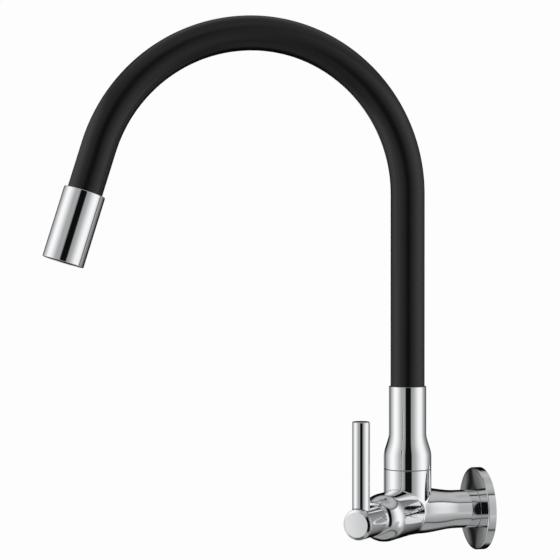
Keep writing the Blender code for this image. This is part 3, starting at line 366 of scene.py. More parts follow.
def chrome_plate(name, waviness):
    """Bright chrome: a mirror whose gloss varies a little, over a polished ground with the least of waves."""
    material, plate, place = new_material(name)
    smear, haze, swell = place.noise(55.0, 3.0), place.noise(900.0, 2.0), place.noise(70.0, 1.0)
    return finished(material, plate, shades(CHROME_COLOUR, 0.985, 1.0), smear, (waviness, 0.0004, swell), {
        "Metallic": 1.0, "Roughness": 0.028 + smear * 0.022 + haze * 0.012,
    })


def metal(name, colour, roughness, grain):
    """Turned or drawn metal: fine tool marks that change its gloss and tone."""
    material, bar, place = new_material(name)
    marks, cloud = place.noise(grain, 4.0, Roughness=0.7), place.noise(60.0, 3.0)
    return finished(material, bar, shades(colour, 0.90, 1.06), cloud, (0.1, 0.0001, marks), {
        "Metallic": 1.0, "Roughness": roughness + marks * 0.12,
    })


def plastic(name, colour, roughness, scale):
    """Moulded plastic or lapped ceramic: an even colour with the faintest clouding, and a satin skin."""
    material, part, place = new_material(name)
    cloud = place.noise(scale, 3.0)
    return finished(material, part, shades(colour, 0.96, 1.0), cloud, (0.05, 0.0001, cloud), {
        "Roughness": roughness + cloud * 0.06,
    })


def rubber(name, colour, roughness, grain):
    """Moulded rubber or acetal: dark, matt, with a fine pimpled skin."""
    material, skin, place = new_material(name)
    cloud, pimples = place.noise(40.0, 4.0), place.noise(grain, 3.0)
    return finished(material, skin, shades(colour, 0.85, 1.15), cloud, (0.15, 0.0002, pimples), {
        "Roughness": roughness + cloud * 0.08,
    })


def silicone(name):
    """Matt black silicone: it takes a soft grey sheen on its flanks, and shows a fine pressed grain."""
    material, skin, place = new_material(name)
    cloud, grain = place.noise(22.0, 5.0), place.noise(1600.0, 2.0)
    tones = ((0.0022, 0.0022, 0.0026), (0.0038, 0.0038, 0.0043))
    return finished(material, skin, tones, cloud, (0.12, 0.0001, grain), {
        "Roughness": 0.26 + cloud * 0.08, "Specular IOR Level": 0.43,
    })


# Turning
# Frames are (origin, u, v, axis). A turned piece is an outline of (radius, height) carried round the axis.
GAP = 0.0003
MIDDLE = np.array((0.0, -WALL_REACH, 0.0))
X, Y, Z = np.eye(3)
ASIDE = (X + Y) / math.sqrt(2)
OUT_OF_BARREL = (X - Y) / math.sqrt(2)
TUBE_FRAME = (MIDDLE, X, Z, Y)
BARREL_FRAME = (MIDDLE, ASIDE, Z, OUT_OF_BARREL)
NECK_FRAME = (MIDDLE, X, Y, Z)
WALL_FRAME = (np.zeros(3), X, Z, -Y)
ARC_LEAD = 0.15
LONGEST_LEAD = 0.00008


def unit(vectors):
    return vectors / np.linalg.norm(vectors, axis=-1, keepdims=True)


def placed(place, radius, angle, height):
    """Points from cylinder coordinates: origin + radius (cos angle u + sin angle v) + height w."""
    origin, u, v, w = place
    radius, angle, height = (a[..., None] for a in np.broadcast_arrays(radius, angle, height))
    return origin + radius * (np.cos(angle) * u + np.sin(angle) * v) + height * w


def rings_on(place, angle, outline):
    """Turned rings, one for each (radius, height) of an outline, at the given angles."""
    outline = np.asarray(outline)
    return placed(place, outline[:, :1], angle[None, :], outline[:, 1:])


def turned(name, place, outline, material, steps=128):
    """A turned piece. An outline that starts off the axis is closed, and one that starts on it ends there."""
    angle = np.arange(steps) * math.tau / steps
    outline = np.asarray(outline)
    closed = bool(outline[0, 0] > 0)
    points = rings_on(place, angle, outline)
    return new_piece(name, points, grid_faces(len(outline), steps, closed), material)


def corner(outline, index, radius, count):
    """Arc that rounds a corner of an outline, with a point just before and after it to keep the flats flat."""
    before, at, after = (np.array(outline[k % len(outline)], float) for k in (index - 1, index, index + 1))
    back, on = unit(before - at), unit(after - at)
    half = math.acos(float(np.clip(back @ on, -1, 1))) / 2
    room_for = 0.49 * min(np.linalg.norm(before - at), np.linalg.norm(after - at))
    trim = min(radius / math.tan(half), room_for)
    radius = trim * math.tan(half)
    centre = at + unit(back + on) * radius / math.sin(half)
    first, last = at + back * trim - centre, at + on * trim - centre
    share = np.linspace(0.0, 1.0, count + 1)[:, None]
    sweep = math.pi - 2 * half
    arc = (np.sin((1 - share) * sweep) * first + np.sin(share * sweep) * last) / math.sin(sweep)
    lead = min(ARC_LEAD * radius, LONGEST_LEAD)
    return [at + back * (trim + lead)] + list(centre + arc) + [at + on * (trim + lead)]


def eased(outline, radius=0.0003, closed=True, sizes=None, count=6):
    """Outline with its corners rounded: each by the given radius, or by its own where sizes has one."""
    points, total = [], len(outline)
    for index, point in enumerate(outline):
        size = (sizes or {}).get(index, radius)
        end = not closed and index in (0, total - 1)
        if end or size <= 0:
            points.append(np.array(point, float))
        else:
            points += corner(outline, index, size, count)
    return np.array(points)


# Valve body
# One brass casting: the tube from the wall with its threaded tail, the upright neck, and the valve barrel
# turned 45 degrees to the user's right. It is bored, ground, polished and chrome plated, with small fillets
# where the three branches meet. Lengths run along each branch from the middle, where the axes cross.
TUBE_RADIUS = 0.013
TUBE_FLARE_RADIUS = 0.0157
TUBE_FLARE_FROM = 0.008
TUBE_FLARE_TO = 0.0335
TUBE_SKIN_END = 0.026
TUBE_TURNED_FROM = 0.0265
TUBE_PLAIN_FROM = 0.040
TUBE_SHOULDER = 0.0498
THREAD_RADIUS = 0.0104775
THREAD_DEPTH = 0.00116
THREAD_ROOT = THREAD_RADIUS - THREAD_DEPTH
THREAD_PITCH = 0.001814
THREAD_START = TUBE_SHOULDER + 0.0012
THREAD_STEPS = 10
TAIL_END = 0.0605
TAIL_CHAMFER = 0.001
STRAINER_SEAT_RADIUS = 0.0075
STRAINER_SEAT = TAIL_END - 0.003
WATER_BORE_RADIUS = 0.0055
WATER_BORE_END = 0.012
NECK_RADIUS = 0.0162
NECK_SKIN_END = 0.0235
NECK_TURNED_FROM = 0.0245
NECK_TOP = 0.0288
NECK_BORE_RADIUS = 0.0112
NECK_BORE_END = 0.010
WASHER_SEAT_RADIUS = 0.015
WASHER_SEAT = NECK_TOP - 0.0007
SNAP_GROOVE_RADIUS = 0.0121
SNAP_GROOVE_TOP = 0.0229
SNAP_GROOVE_BOTTOM = 0.0213
BALL_STEP = 0.00015
BALL_STEP_RUN = 0.12
BARREL_RADIUS = 0.0161
BARREL_SKIN_END = 0.024
BARREL_TURNED_AT = (0.027, 0.030, 0.0325)
BARREL_FRONT = 0.0479
BARREL_LIP = BARREL_FRONT - 0.0004
BARREL_BORE_RADIUS = 0.009
BARREL_BORE_END = 0.005
SHOULDER_LENGTH = 0.013
SHOULDER_DROP = 0.008
SHOULDER_SWEEP = math.acos(0.15)
FILLET = 0.00035
BRANCH_LENGTH = 0.07
BRANCH_SAMPLES = 1401
NARROWEST = 0.2
STEEPEST = 0.999999
HALVINGS = 50
EDGE_POINTS = 61
SHORT_EDGE_POINTS = 41
RING_SHARES = (0, .006, .014, .024, .036, .05, .07, .1, .14, .19, .25, .32, .4, .5, .6, .7, .8, .9, 1.0)


def tube_radius(along):
    """Radius of the wall tube: an S from the flare at the body to the plain tube."""
    share = np.clip((along - TUBE_FLARE_FROM) / (TUBE_FLARE_TO - TUBE_FLARE_FROM), 0.0, 1.0)
    return TUBE_FLARE_RADIUS + (TUBE_RADIUS - TUBE_FLARE_RADIUS) * share * share * (3 - 2 * share)


def barrel_radius(along):
    return np.full_like(along, BARREL_RADIUS)


def neck_radius(along):
    return np.full_like(along, NECK_RADIUS)


def branch_reach(direction, axis, radius_of, foot_radius):
    """How far from the middle a ray leaves a branch: its outline as distance against angle from the axis."""
    along = np.linspace(0.0, BRANCH_LENGTH, BRANCH_SAMPLES)
    radius = radius_of(along)
    angle = np.arccos(np.clip(direction @ axis, -1.0, 1.0))
    outline_angle, outline_reach = np.arctan2(radius, along), np.hypot(radius, along)
    reach = np.interp(angle, outline_angle[::-1], outline_reach[::-1])
    return np.where(angle > math.pi / 2, foot_radius, reach)


def tube_reach(direction):
    return branch_reach(direction, Y, tube_radius, TUBE_FLARE_RADIUS)


def barrel_reach(direction):
    return branch_reach(direction, OUT_OF_BARREL, barrel_radius, BARREL_RADIUS)


def neck_reach(direction):
    """The neck's cylinder above the middle, and a ball a hair smaller below it."""
    rise = np.clip(direction[..., 2], 0.0, STEEPEST)
    sink = np.clip(-direction[..., 2] / BALL_STEP_RUN, 0.0, 1.0)
    return (NECK_RADIUS - BALL_STEP * sink * sink * (3 - 2 * sink)) / np.sqrt(1 - rise * rise)


def body_points(direction):
    """Surface of the body: the middle + direction times the smooth maximum k log(sum of exp(reach / k))."""
    reaches = np.stack([tube_reach(direction), barrel_reach(direction), neck_reach(direction)])
    top = reaches.max(axis=0)
    smooth = top + FILLET * np.log(np.exp((reaches - top) / FILLET).sum(axis=0))
    return MIDDLE + smooth[..., None] * direction


def ray(place, angle, opening):
    """Unit directions at an angle round a branch's axis and an opening from it."""
    return placed((np.zeros(3),) + place[1:], np.sin(opening), angle, np.cos(opening))


def crease(place, start, end, count, own, other):
    """Directions round a branch at which its own surface meets another one, found by halving the opening."""
    angle = np.linspace(start, end, count)
    low, high = np.full(angle.shape, NARROWEST), np.full(angle.shape, math.pi / 2)
    for _ in range(HALVINGS):
        opening = (low + high) / 2
        direction = ray(place, angle, opening)
        outside = own(direction) > other(direction)
        low, high = np.where(outside, opening, low), np.where(outside, high, opening)
    return ray(place, angle, (low + high) / 2)


def triple_angle(low, high):
    """Angle round the wall tube at which tube, neck and barrel meet in one point."""
    for _ in range(HALVINGS):
        middle = (low + high) / 2
        direction = crease(TUBE_FRAME, middle, middle, 1, tube_reach, neck_reach)
        if barrel_reach(direction)[0] > neck_reach(direction)[0]:
            low = middle
        else:
            high = middle
    return middle


def angle_round(place, direction):
    return np.arctan2(direction @ place[2], direction @ place[1])


def branch_rings(place, directions, own, radius_of, end):
    """Rings of a branch from its creases out to a plain section, closer together near the creases."""
    angle = angle_round(place, directions)
    start = own(directions) * (directions @ place[3])
    height = start + (end - start) * np.array(RING_SHARES)[:, None]
    around = placed((np.zeros(3),) + place[1:], radius_of(height), angle, height)
    around[0] = directions
    return body_points(unit(around)), angle


# The creases between tube, neck, barrel and ball, with their shared ends made equal
upper, lower = triple_angle(0.0, math.pi / 2), triple_angle(0.0, -math.pi / 2)
neck_tube = crease(TUBE_FRAME, upper, math.pi, EDGE_POINTS, tube_reach, neck_reach)
ball_tube = crease(TUBE_FRAME, math.pi, math.tau + lower, EDGE_POINTS, tube_reach, neck_reach)
tube_barrel = crease(TUBE_FRAME, lower, upper, SHORT_EDGE_POINTS, tube_reach, barrel_reach)
tube_barrel[0], tube_barrel[-1] = ball_tube[-1], neck_tube[0]
upper_round, lower_round = (float(angle_round(BARREL_FRAME, d)) for d in (neck_tube[0], ball_tube[-1]))
neck_barrel = crease(BARREL_FRAME, upper_round, math.pi, EDGE_POINTS, barrel_reach, neck_reach)
ball_barrel = crease(BARREL_FRAME, math.pi, math.tau + lower_round, EDGE_POINTS, barrel_reach, neck_reach)
neck_barrel[0], ball_barrel[-1] = neck_tube[0], ball_tube[-1]
ball_barrel[0], ball_tube[0] = neck_barrel[-1], neck_tube[-1]

# The ball below the neck, as great arcs from the tube's crease to the barrel's
across = (1 - np.cos(np.linspace(0.0, math.pi, SHORT_EDGE_POINTS)))[:, None, None] / 2
spread = np.arccos(np.clip((ball_tube * ball_barrel).sum(-1), -1, 1))[:, None]
spread = np.where(spread < 1e-6, 1e-6, spread)
ball = np.sin((1 - across) * spread) * ball_tube + np.sin(across * spread) * ball_barrel
ball = unit(ball / np.sin(spread))
ball[:, -1] = ball_tube[-1]

# The three branches, out to where they run plain
tube_loop = np.concatenate((neck_tube[:-1], ball_tube[:-1], tube_barrel[:-1]))
barrel_loop = np.concatenate((neck_barrel[:-1], ball_barrel[:-1], tube_barrel[:-1]))
neck_loop = np.concatenate((neck_tube[:-1], ball[:-1, 0], neck_barrel[:0:-1]))
tube_skin, tube_angle = branch_rings(TUBE_FRAME, tube_loop, tube_reach, tube_radius, TUBE_SKIN_END)
barrel_skin, barrel_angle = branch_rings(
    BARREL_FRAME, barrel_loop, barrel_reach, barrel_radius, BARREL_SKIN_END
)
neck_skin, neck_angle = branch_rings(NECK_FRAME, neck_loop, neck_reach, neck_radius, NECK_SKIN_END)

# The tube's end, its thread as a helix, and the bore of the tail
tube_outline = [(float(tube_radius(h)), h) for h in np.linspace(TUBE_TURNED_FROM, TUBE_FLARE_TO, 12)]
tube_outline += list(eased([
    (TUBE_RADIUS, TUBE_PLAIN_FROM), (TUBE_RADIUS, TUBE_SHOULDER), (THREAD_ROOT, TUBE_SHOULDER),
    (THREAD_ROOT, THREAD_START),
], closed=False, sizes={2: 0.0}))
tube_rings = rings_on(TUBE_FRAME, tube_angle, tube_outline)
thread_height = np.arange(THREAD_START, TAIL_END - TAIL_CHAMFER, THREAD_PITCH / THREAD_STEPS)
turn = math.tau * thread_height[:, None] / THREAD_PITCH - tube_angle[None, :]
run_in = np.clip((thread_height - thread_height[0]) / (0.5 * THREAD_PITCH), 0.0, 1.0)[:, None]
thread_radius = THREAD_RADIUS - THREAD_DEPTH * (1 - run_in * (0.5 + 0.5 * np.sin(turn)))
thread_rings = placed(TUBE_FRAME, thread_radius, tube_angle[None, :], thread_height[:, None])
tail_rings = rings_on(TUBE_FRAME, tube_angle, [
    (THREAD_RADIUS - TAIL_CHAMFER, TAIL_END), (STRAINER_SEAT_RADIUS, TAIL_END),
    (STRAINER_SEAT_RADIUS, STRAINER_SEAT), (WATER_BORE_RADIUS, STRAINER_SEAT),
    (WATER_BORE_RADIUS, WATER_BORE_END), (0.0, WATER_BORE_END),
])

# The barrel's rounded shoulder and the neck's top, with their bores
turn = np.linspace(0.0, SHOULDER_SWEEP, 25)
shoulder = np.stack((
    BARREL_RADIUS - SHOULDER_DROP * (1 - np.cos(turn)), BARREL_FRONT - SHOULDER_LENGTH * (1 - np.sin(turn))
), axis=-1)
barrel_outline = [(BARREL_RADIUS, h) for h in BARREL_TURNED_AT] + list(shoulder)
barrel_outline += [(BARREL_BORE_RADIUS, BARREL_LIP), (BARREL_BORE_RADIUS, BARREL_BORE_END)]
barrel_outline += [(0.0, BARREL_BORE_END)]
barrel_rings = rings_on(BARREL_FRAME, barrel_angle, barrel_outline)
neck_rings = rings_on(NECK_FRAME, neck_angle, eased([
    (NECK_RADIUS, NECK_TURNED_FROM), (NECK_RADIUS, NECK_TOP), (WASHER_SEAT_RADIUS, NECK_TOP),
    (WASHER_SEAT_RADIUS, WASHER_SEAT), (NECK_BORE_RADIUS, WASHER_SEAT), (NECK_BORE_RADIUS, SNAP_GROOVE_TOP),
    (SNAP_GROOVE_RADIUS, SNAP_GROOVE_TOP), (SNAP_GROOVE_RADIUS, SNAP_GROOVE_BOTTOM),
    (NECK_BORE_RADIUS, SNAP_GROOVE_BOTTOM), (NECK_BORE_RADIUS, NECK_BORE_END), (0.0, NECK_BORE_END),
], closed=False, radius=0.0, sizes={1: 0.00025, 2: 0.0001, 4: 0.0002}))

# All of it as one mesh
body_faces, body_vertices, offset = [], [], 0
for part in (
    np.concatenate((tube_skin, tube_rings, thread_rings, tail_rings)),
    np.concatenate((barrel_skin, barrel_rings)),
    np.concatenate((neck_skin, neck_rings)),
):
    body_faces.append(grid_faces(part.shape[0], part.shape[1]) + offset)
    body_vertices.append(part.reshape(-1, 3))
    offset += part.shape[0] * part.shape[1]
flat = np.arange(ball.shape[0] * ball.shape[1]).reshape(ball.shape[:2]) + offset
ball_faces = np.stack((flat[:-1, :-1], flat[:-1, 1:], flat[1:, 1:], flat[1:, :-1]), axis=-1)
body_faces.append(ball_faces.reshape(-1, 4))
body_vertices.append(body_points(ball).reshape(-1, 3))
valve_body = new_piece(
    "body_casting", np.concatenate(body_vertices), np.concatenate(body_faces),
    chrome_plate("cast_chrome", 0.02),
)
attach(valve_body, "valve")
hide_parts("valve_body")


# Wall flange and its gasket
# A dished chrome rosette, pressed from thin brass, that slides on the tube and covers the hole in the wall. A
# foam rubber ring behind it keeps water out of the wall.
FLANGE_RADIUS = 0.0282
FLANGE_HEIGHT = 0.006
FLANGE_DISH = 0.0008
FLANGE_SKIN = 0.0012
FLANGE_RIM = 0.002
FLANGE_EDGE = FLANGE_HEIGHT - 0.0001
HOLE_RIM = 0.0002
FLANGE_HOLE = TUBE_RADIUS + GAP
INNER_RIM = FLANGE_RADIUS - FLANGE_RIM
FLANGE_BACK = FLANGE_HEIGHT - FLANGE_DISH - FLANGE_SKIN
GASKET_TOP = FLANGE_BACK - GAP


def dish(share):
    """A point of the flange's face: height = FLANGE_HEIGHT - FLANGE_DISH (1 - share squared)."""
    radius = FLANGE_HOLE + (FLANGE_RADIUS - FLANGE_HOLE) * share
    return radius, FLANGE_HEIGHT - FLANGE_DISH * (1 - share * share)


flange_outline = [dish(share) for share in np.linspace(0.04, 0.88, 22)] + list(eased([
    dish(0.9), (FLANGE_RADIUS, FLANGE_EDGE), (FLANGE_RADIUS, 0.0), (INNER_RIM, 0.0),
    (INNER_RIM, FLANGE_HEIGHT - FLANGE_SKIN), (FLANGE_HOLE, FLANGE_BACK),
    (FLANGE_HOLE, FLANGE_BACK + HOLE_RIM), dish(0.0), dish(0.02),
], closed=False, radius=0.00025, sizes={1: 0.0007, 6: 0.0, 7: 0.0002}))
wall_flange = turned(
    "flange_rosette", WALL_FRAME, flange_outline, chrome_plate("flange_chrome", 0.01), steps=192
)
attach(wall_flange, "valve")
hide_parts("wall_flange")

gasket = turned("gasket_ring", WALL_FRAME, eased([
    (FLANGE_HOLE, GASKET_TOP), (INNER_RIM - GAP, GASKET_TOP), (INNER_RIM - GAP, 0.0), (FLANGE_HOLE, 0.0),
    (FLANGE_HOLE, GASKET_TOP / 2),
], radius=0.0002, sizes={4: 0.0}), rubber("foam_rubber", BLACK_RUBBER, 0.8, 1500.0), steps=96)
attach(gasket, "valve")
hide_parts("flange_gasket")


# Handle
# A turned hub on the spindle's spline, held by a screw behind a pressed cap, and an upright lever rod on a
# stud. All three are turned from brass bar, polished and chrome plated.
HUB_RADIUS = 0.0101
HUB_REAR = 0.0482
HUB_FACE = 0.0755
CAP_THICKNESS = 0.0014
HUB_FRONT = HUB_FACE - CAP_THICKNESS - GAP
HUB_RECESS_RADIUS = 0.0084
RECESS_FLOOR = HUB_REAR + 0.003
SPLINE_RADIUS = 0.0042
SCREW_HOLE_RADIUS = 0.0022
WEB_BACK = 0.0603
WEB_FRONT = 0.062
POCKET_RADIUS = 0.0046
CAP_RADIUS = HUB_RADIUS - GAP
CAP_BACK = HUB_FACE - CAP_THICKNESS
CAP_CROWN = 0.00018
CAP_BEVEL_RADIUS = CAP_RADIUS - 0.0017
CAP_BEVEL_DROP = 0.00102
CAP_EDGE_RUN = 0.0002
PLUG_RADIUS = POCKET_RADIUS - GAP
PLUG_END = CAP_BACK - 0.005
LEVER_RADIUS = 0.00575
LEVER_TOP = 0.0663
LEVER_FOOT = 0.013
LEVER_REACH = 0.0686
LEVER_STEPS = 96
FOOT_EASE = 0.0002
STUD_HOLE_RADIUS = 0.0023
STUD_HOLE_MOUTH = 0.012
STUD_HOLE_END = 0.020

hub = turned("hub_turning", BARREL_FRAME, eased([
    (POCKET_RADIUS, HUB_FRONT), (HUB_RADIUS, HUB_FRONT), (HUB_RADIUS, HUB_REAR),
    (HUB_RECESS_RADIUS, HUB_REAR), (HUB_RECESS_RADIUS, RECESS_FLOOR), (SPLINE_RADIUS, RECESS_FLOOR),
    (SPLINE_RADIUS, WEB_BACK), (SCREW_HOLE_RADIUS, WEB_BACK), (SCREW_HOLE_RADIUS, WEB_FRONT),
    (POCKET_RADIUS, WEB_FRONT), (POCKET_RADIUS, HUB_FRONT - 0.001),
], radius=0.0001, sizes={1: 0.0005, 2: 0.0005, 3: 0.0002, 10: 0.0}), chrome_plate("hub_chrome", 0.01))
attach(hub, "handle")
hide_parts("handle_hub")

# The cap's face is a shallow dome inside a wide soft bevel
dome_radius = CAP_BEVEL_RADIUS - CAP_EDGE_RUN
rise = np.linspace(0.0, 1.0, 9)
dome = list(np.stack((dome_radius * rise, HUB_FACE - CAP_CROWN * rise ** 2), -1))
cap_outline = dome + list(eased([
    (dome_radius, HUB_FACE - CAP_CROWN), (CAP_BEVEL_RADIUS, HUB_FACE - CAP_CROWN),
    (CAP_RADIUS, HUB_FACE - CAP_BEVEL_DROP), (CAP_RADIUS, CAP_BACK), (PLUG_RADIUS, CAP_BACK),
    (PLUG_RADIUS, PLUG_END), (0.0, PLUG_END),
], closed=False, radius=0.0001, sizes={1: 0.0008, 2: 0.0002}, count=8))[1:]
cap = turned("cap_disc", BARREL_FRAME, cap_outline, chrome_plate("cap_chrome", 0.0))
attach(cap, "handle")
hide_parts("hub_cap")

LEVER_FRAME = (MIDDLE + OUT_OF_BARREL * LEVER_REACH, OUT_OF_BARREL, ASIDE, Z)
lever_angle = np.arange(LEVER_STEPS) * math.tau / LEVER_STEPS


def saddle_ring(radius):
    """Ring that follows the hub's round side: height = root of (hub radius + gap) squared - offset squared."""
    height = np.sqrt((HUB_RADIUS + GAP) ** 2 - (radius * np.sin(lever_angle)) ** 2)
    return placed(LEVER_FRAME, radius, lever_angle, height)[None]


lever_rings = rings_on(LEVER_FRAME, lever_angle, eased([
    (0.0, LEVER_TOP), (LEVER_RADIUS, LEVER_TOP), (LEVER_RADIUS, LEVER_FOOT),
], closed=False, sizes={1: 0.0008}, count=8))
stud_hole_rings = rings_on(LEVER_FRAME, lever_angle, [
    (STUD_HOLE_RADIUS, STUD_HOLE_MOUTH), (STUD_HOLE_RADIUS, STUD_HOLE_END), (0.0, STUD_HOLE_END),
])
lever_points = np.concatenate((
    lever_rings, saddle_ring(LEVER_RADIUS), saddle_ring(LEVER_RADIUS - FOOT_EASE),
    saddle_ring(STUD_HOLE_RADIUS), stud_hole_rings,
))
lever_points[len(lever_rings)] += FOOT_EASE * Z
lever = new_piece(
    "lever_bar", lever_points, grid_faces(len(lever_points), LEVER_STEPS), chrome_plate("lever_chrome", 0.0)
)
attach(lever, "handle")
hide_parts("lever_rod")


# Slip washer
# A black acetal ring, let into the top of the neck, on which the spout turns.
WASHER_BORE = 0.0115
WASHER_RADIUS = 0.0147
WASHER_BOTTOM = 0.0284

washer = turned("washer_ring", NECK_FRAME, eased([
    (WASHER_BORE, NECK_TOP), (WASHER_RADIUS, NECK_TOP), (WASHER_RADIUS, WASHER_BOTTOM),
    (WASHER_BORE, WASHER_BOTTOM), (WASHER_BORE, (NECK_TOP + WASHER_BOTTOM) / 2),
], radius=0.0001, sizes={4: 0.0}), rubber("acetal", (0.02, 0.02, 0.022), 0.4, 900.0), steps=96)
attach(washer, "valve")
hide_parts("slip_washer")


# Spout collar
# A reducing collar drawn from brass tube: wide over the swivel, then an S down to the hose. It turns with the
# spout, and its mirror shows the lever as a thin upright line.
COLLAR_BOTTOM = 0.0291
COLLAR_TOP = 0.0852
COLLAR_TOP_RADIUS = 0.0127
COLLAR_FLARE_BOTTOM = 0.0375
COLLAR_FLARE_TOP = 0.0534
COLLAR_BORE = 0.0139
COLLAR_BORE_TOP = 0.0494
HOSE_HOLE = 0.0119


def s_run(first, last, count=20):
    """Points of an S: radius = first + (last - first) (3 t t - 2 t t t), with the height running evenly."""
    share = np.linspace(0.0, 1.0, count + 1)
    ease = share * share * (3 - 2 * share)
    radius = first[0] + (last[0] - first[0]) * ease
    return list(np.stack((radius, first[1] + (last[1] - first[1]) * share), -1))


collar_outline = list(eased([
    (HOSE_HOLE, COLLAR_TOP - 0.01), (HOSE_HOLE, COLLAR_TOP), (COLLAR_TOP_RADIUS, COLLAR_TOP),
    (COLLAR_TOP_RADIUS, COLLAR_FLARE_TOP + 0.004),
], closed=False, sizes={1: 0.0002, 2: 0.00035}))
collar_outline += s_run((COLLAR_TOP_RADIUS, COLLAR_FLARE_TOP), (NECK_RADIUS, COLLAR_FLARE_BOTTOM))
collar_outline += list(eased([
    (NECK_RADIUS, COLLAR_FLARE_BOTTOM - 0.001), (NECK_RADIUS, COLLAR_BOTTOM), (COLLAR_BORE, COLLAR_BOTTOM),
    (COLLAR_BORE, COLLAR_FLARE_BOTTOM - 0.001),
], closed=False, sizes={1: 0.0003, 2: 0.0002}))
collar_outline += s_run((COLLAR_BORE, COLLAR_FLARE_BOTTOM), (HOSE_HOLE, COLLAR_BORE_TOP), 12)
collar = turned("collar_tube", NECK_FRAME, collar_outline, chrome_plate("collar_chrome", 0.0), steps=256)
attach(collar, "spout")
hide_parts("spout_collar")


# Gooseneck
# A bendable interlocked steel hose holds the arch. Inside it runs the water tube, and over it a matt black
# silicone sleeve is drawn.
ARCH_START = 0.2162
RISER_BEND = 0.1061
REACH_BEND = 0.1109
REACH_SWEEP = math.radians(72.6)
OUTLET_STRAIGHT = 0.0307
HOSE_LENGTH = ARCH_START + RISER_BEND * math.pi / 2 + REACH_BEND * REACH_SWEEP + OUTLET_STRAIGHT
SLEEVE_START = 0.055
SLEEVE_END = HOSE_LENGTH + 0.010
SLEEVE_RADIUS = 0.0116
SLEEVE_BORE = 0.0083
CORE_START = 0.0463
CORE_END = HOSE_LENGTH + 0.017
CORE_RADIUS = 0.008
CORE_BORE = 0.0062
CORE_END_RADIUS = 0.0078
CORE_END_BORE = 0.0064
RIB_PITCH = 0.0032
RIB_DEPTH = 0.0005
WATER_TUBE_RADIUS = 0.005
WATER_TUBE_BORE = 0.0038
END_RUN = 0.001
TUBE_EASE = 0.0003


def on_hose(run, radius, angle):
    """Points round the hose's centreline, by height run up the riser from the supply's axis.

    The centreline is straight to the arch's start, goes a quarter turn of the riser's bend, then the reach's
    bend, and ends straight. Each point is the centre + radius (cos angle X + sin angle normal).
    """
    quarter = RISER_BEND * math.pi / 2
    reach = REACH_BEND * REACH_SWEEP
    first = np.clip((run - ARCH_START) / RISER_BEND, 0.0, math.pi / 2)
    second = np.clip((run - ARCH_START - quarter) / REACH_BEND, 0.0, REACH_SWEEP)
    lead = np.minimum(run, ARCH_START)
    rest = np.maximum(run - ARCH_START - quarter - reach, 0.0)
    turn = first + second
    back = -RISER_BEND * (1 - np.cos(first)) - REACH_BEND * np.sin(second) - rest * math.cos(REACH_SWEEP)
    fall = REACH_BEND * (1 - np.cos(second))
    rise = lead + RISER_BEND * np.sin(first) - fall - rest * math.sin(REACH_SWEEP)
    out = radius * np.sin(angle)
    return np.stack((
        radius * np.cos(angle), MIDDLE[1] + back + out * np.cos(turn), rise + out * np.sin(turn),
    ), axis=-1)


def hose_piece(name, outline, steps, material, node):
    """A closed outline of (run, radius) carried round the hose's centreline."""
    outline = np.asarray(outline)
    angle = np.arange(steps) * math.tau / steps
    points = on_hose(outline[:, :1], outline[:, 1:], angle[None, :])
    piece = new_piece(name, points, grid_faces(len(outline), steps, True), material)
    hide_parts(node)
    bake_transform(piece)


def tube_wall(start, end, radius, bore, spacing):
    """Outline of a plain tube with eased ends."""
    ease = TUBE_EASE
    outer = np.arange(start + END_RUN, end - END_RUN, spacing)
    return (
        [(start, bore + ease), (start, radius - ease), (start + ease, radius)]
        + [(run, radius) for run in outer]
        + [(end - ease, radius), (end, radius - ease), (end, bore + ease), (end - ease, bore)]
        + [(run, bore) for run in outer[::-1]]
        + [(start + ease, bore)]
    )


rib_run = np.arange(CORE_START + END_RUN, CORE_END - END_RUN, RIB_PITCH / 4)
rib = 0.5 + 0.5 * np.cos(math.tau * rib_run / RIB_PITCH)
core_outline = [(CORE_START, CORE_END_BORE), (CORE_START, CORE_END_RADIUS)]
core_outline += list(np.stack((rib_run, CORE_RADIUS - RIB_DEPTH * rib ** 3), -1))
core_outline += [(CORE_END, CORE_END_RADIUS), (CORE_END, CORE_END_BORE)]
core_outline += [(run, CORE_BORE) for run in rib_run[::-6]]
hose_piece(
    "wound_steel_hose", core_outline, 32, metal("hose_steel", STEEL_COLOUR, 0.28, 700.0),
    "gooseneck_core",
)
hose_piece(
    "inner_water_tube", tube_wall(CORE_START, CORE_END, WATER_TUBE_RADIUS, WATER_TUBE_BORE, 0.004), 24,
    plastic("tube_plastic", WHITE_PLASTIC, 0.4, 120.0), "water_tube",
)
hose_piece(
    "sleeve_silicone", tube_wall(SLEEVE_START, SLEEVE_END, SLEEVE_RADIUS, SLEEVE_BORE, 0.0025), 72,
    silicone("black_silicone"), "silicone_sleeve",
)


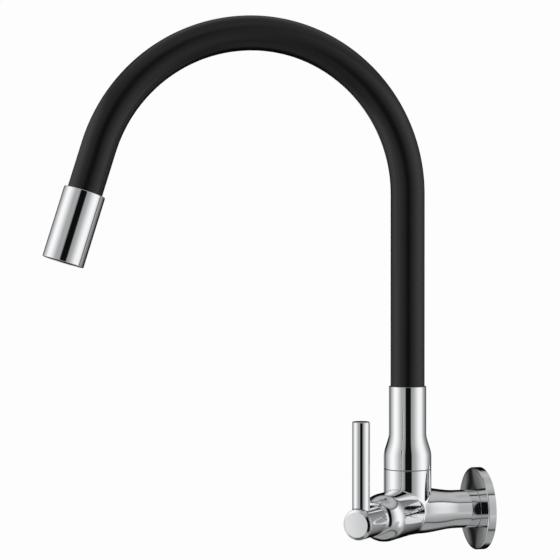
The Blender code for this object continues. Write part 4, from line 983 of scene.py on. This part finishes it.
# Nozzle
# A plain chrome sleeve over the end of the hose. Inside it a brass ferrule grips the steel hose, and an
# aerator with a plastic insert sits in the mouth.
NOZZLE_RADIUS = 0.0138
NOZZLE_LENGTH = 0.0478
NOZZLE_BORE = NOZZLE_RADIUS - 0.0011
NOZZLE_CROWN = 0.002
OUTLET_UP = np.array((0.0, math.cos(REACH_SWEEP), math.sin(REACH_SWEEP)))
NOZZLE_TOP = on_hose(np.array([HOSE_LENGTH]), np.array([0.0]), np.array([0.0]))[0]
NOZZLE_FRAME = (NOZZLE_TOP, X, np.cross(OUTLET_UP, X), OUTLET_UP)

nozzle = turned("nozzle_tube", NOZZLE_FRAME, eased([
    (HOSE_HOLE, -NOZZLE_CROWN / 2), (HOSE_HOLE, 0.0), (NOZZLE_RADIUS, 0.0), (NOZZLE_RADIUS, -NOZZLE_LENGTH),
    (NOZZLE_BORE, -NOZZLE_LENGTH), (NOZZLE_BORE, -NOZZLE_CROWN), (HOSE_HOLE, -NOZZLE_CROWN),
], radius=0.0002, sizes={0: 0.0, 2: 0.0005, 3: 0.0004}), chrome_plate("nozzle_chrome", 0.0), steps=256)
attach(nozzle, "spout_tip")
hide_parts("nozzle_sleeve")


# Pieces kept as the CAD made them
# The cartridge, the swivel's insert and its rings, the ferrules, the screws and the aerator sit inside the
# others. Their shapes are the CAD's own, and each gets its metal, ceramic, rubber or plastic.
for finish, names in (
    (metal("turned_brass", (0.78, 0.60, 0.30), 0.24, 500.0), (
        "cartridge_bonnet", "valve_spindle", "spout_tail", "lower_ferrule", "tip_ferrule",
    )),
    (metal("dulled_brass", (0.36, 0.29, 0.19), 0.45, 500.0), ("aerator_housing",)),
    (metal("plain_steel", STEEL_COLOUR, 0.30, 600.0), (
        "snap_ring", "spindle_clip", "hub_screw", "lever_stud",
    )),
    (plastic("lapped_ceramic", (0.90, 0.90, 0.87), 0.16, 300.0), ("fixed_disc", "moving_disc")),
    (plastic("moulded_white", WHITE_PLASTIC, 0.38, 200.0), ("inlet_strainer", "aerator_insert")),
    (rubber("nitrile_rubber", BLACK_RUBBER, 0.5, 900.0), (
        "seat_seal", "bonnet_o_ring", "spindle_o_ring", "tail_o_ring_lower", "tail_o_ring_upper",
        "aerator_washer",
    )),
):
    for node_name in names:
        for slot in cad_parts[node_name].material_slots:
            slot.material = finish
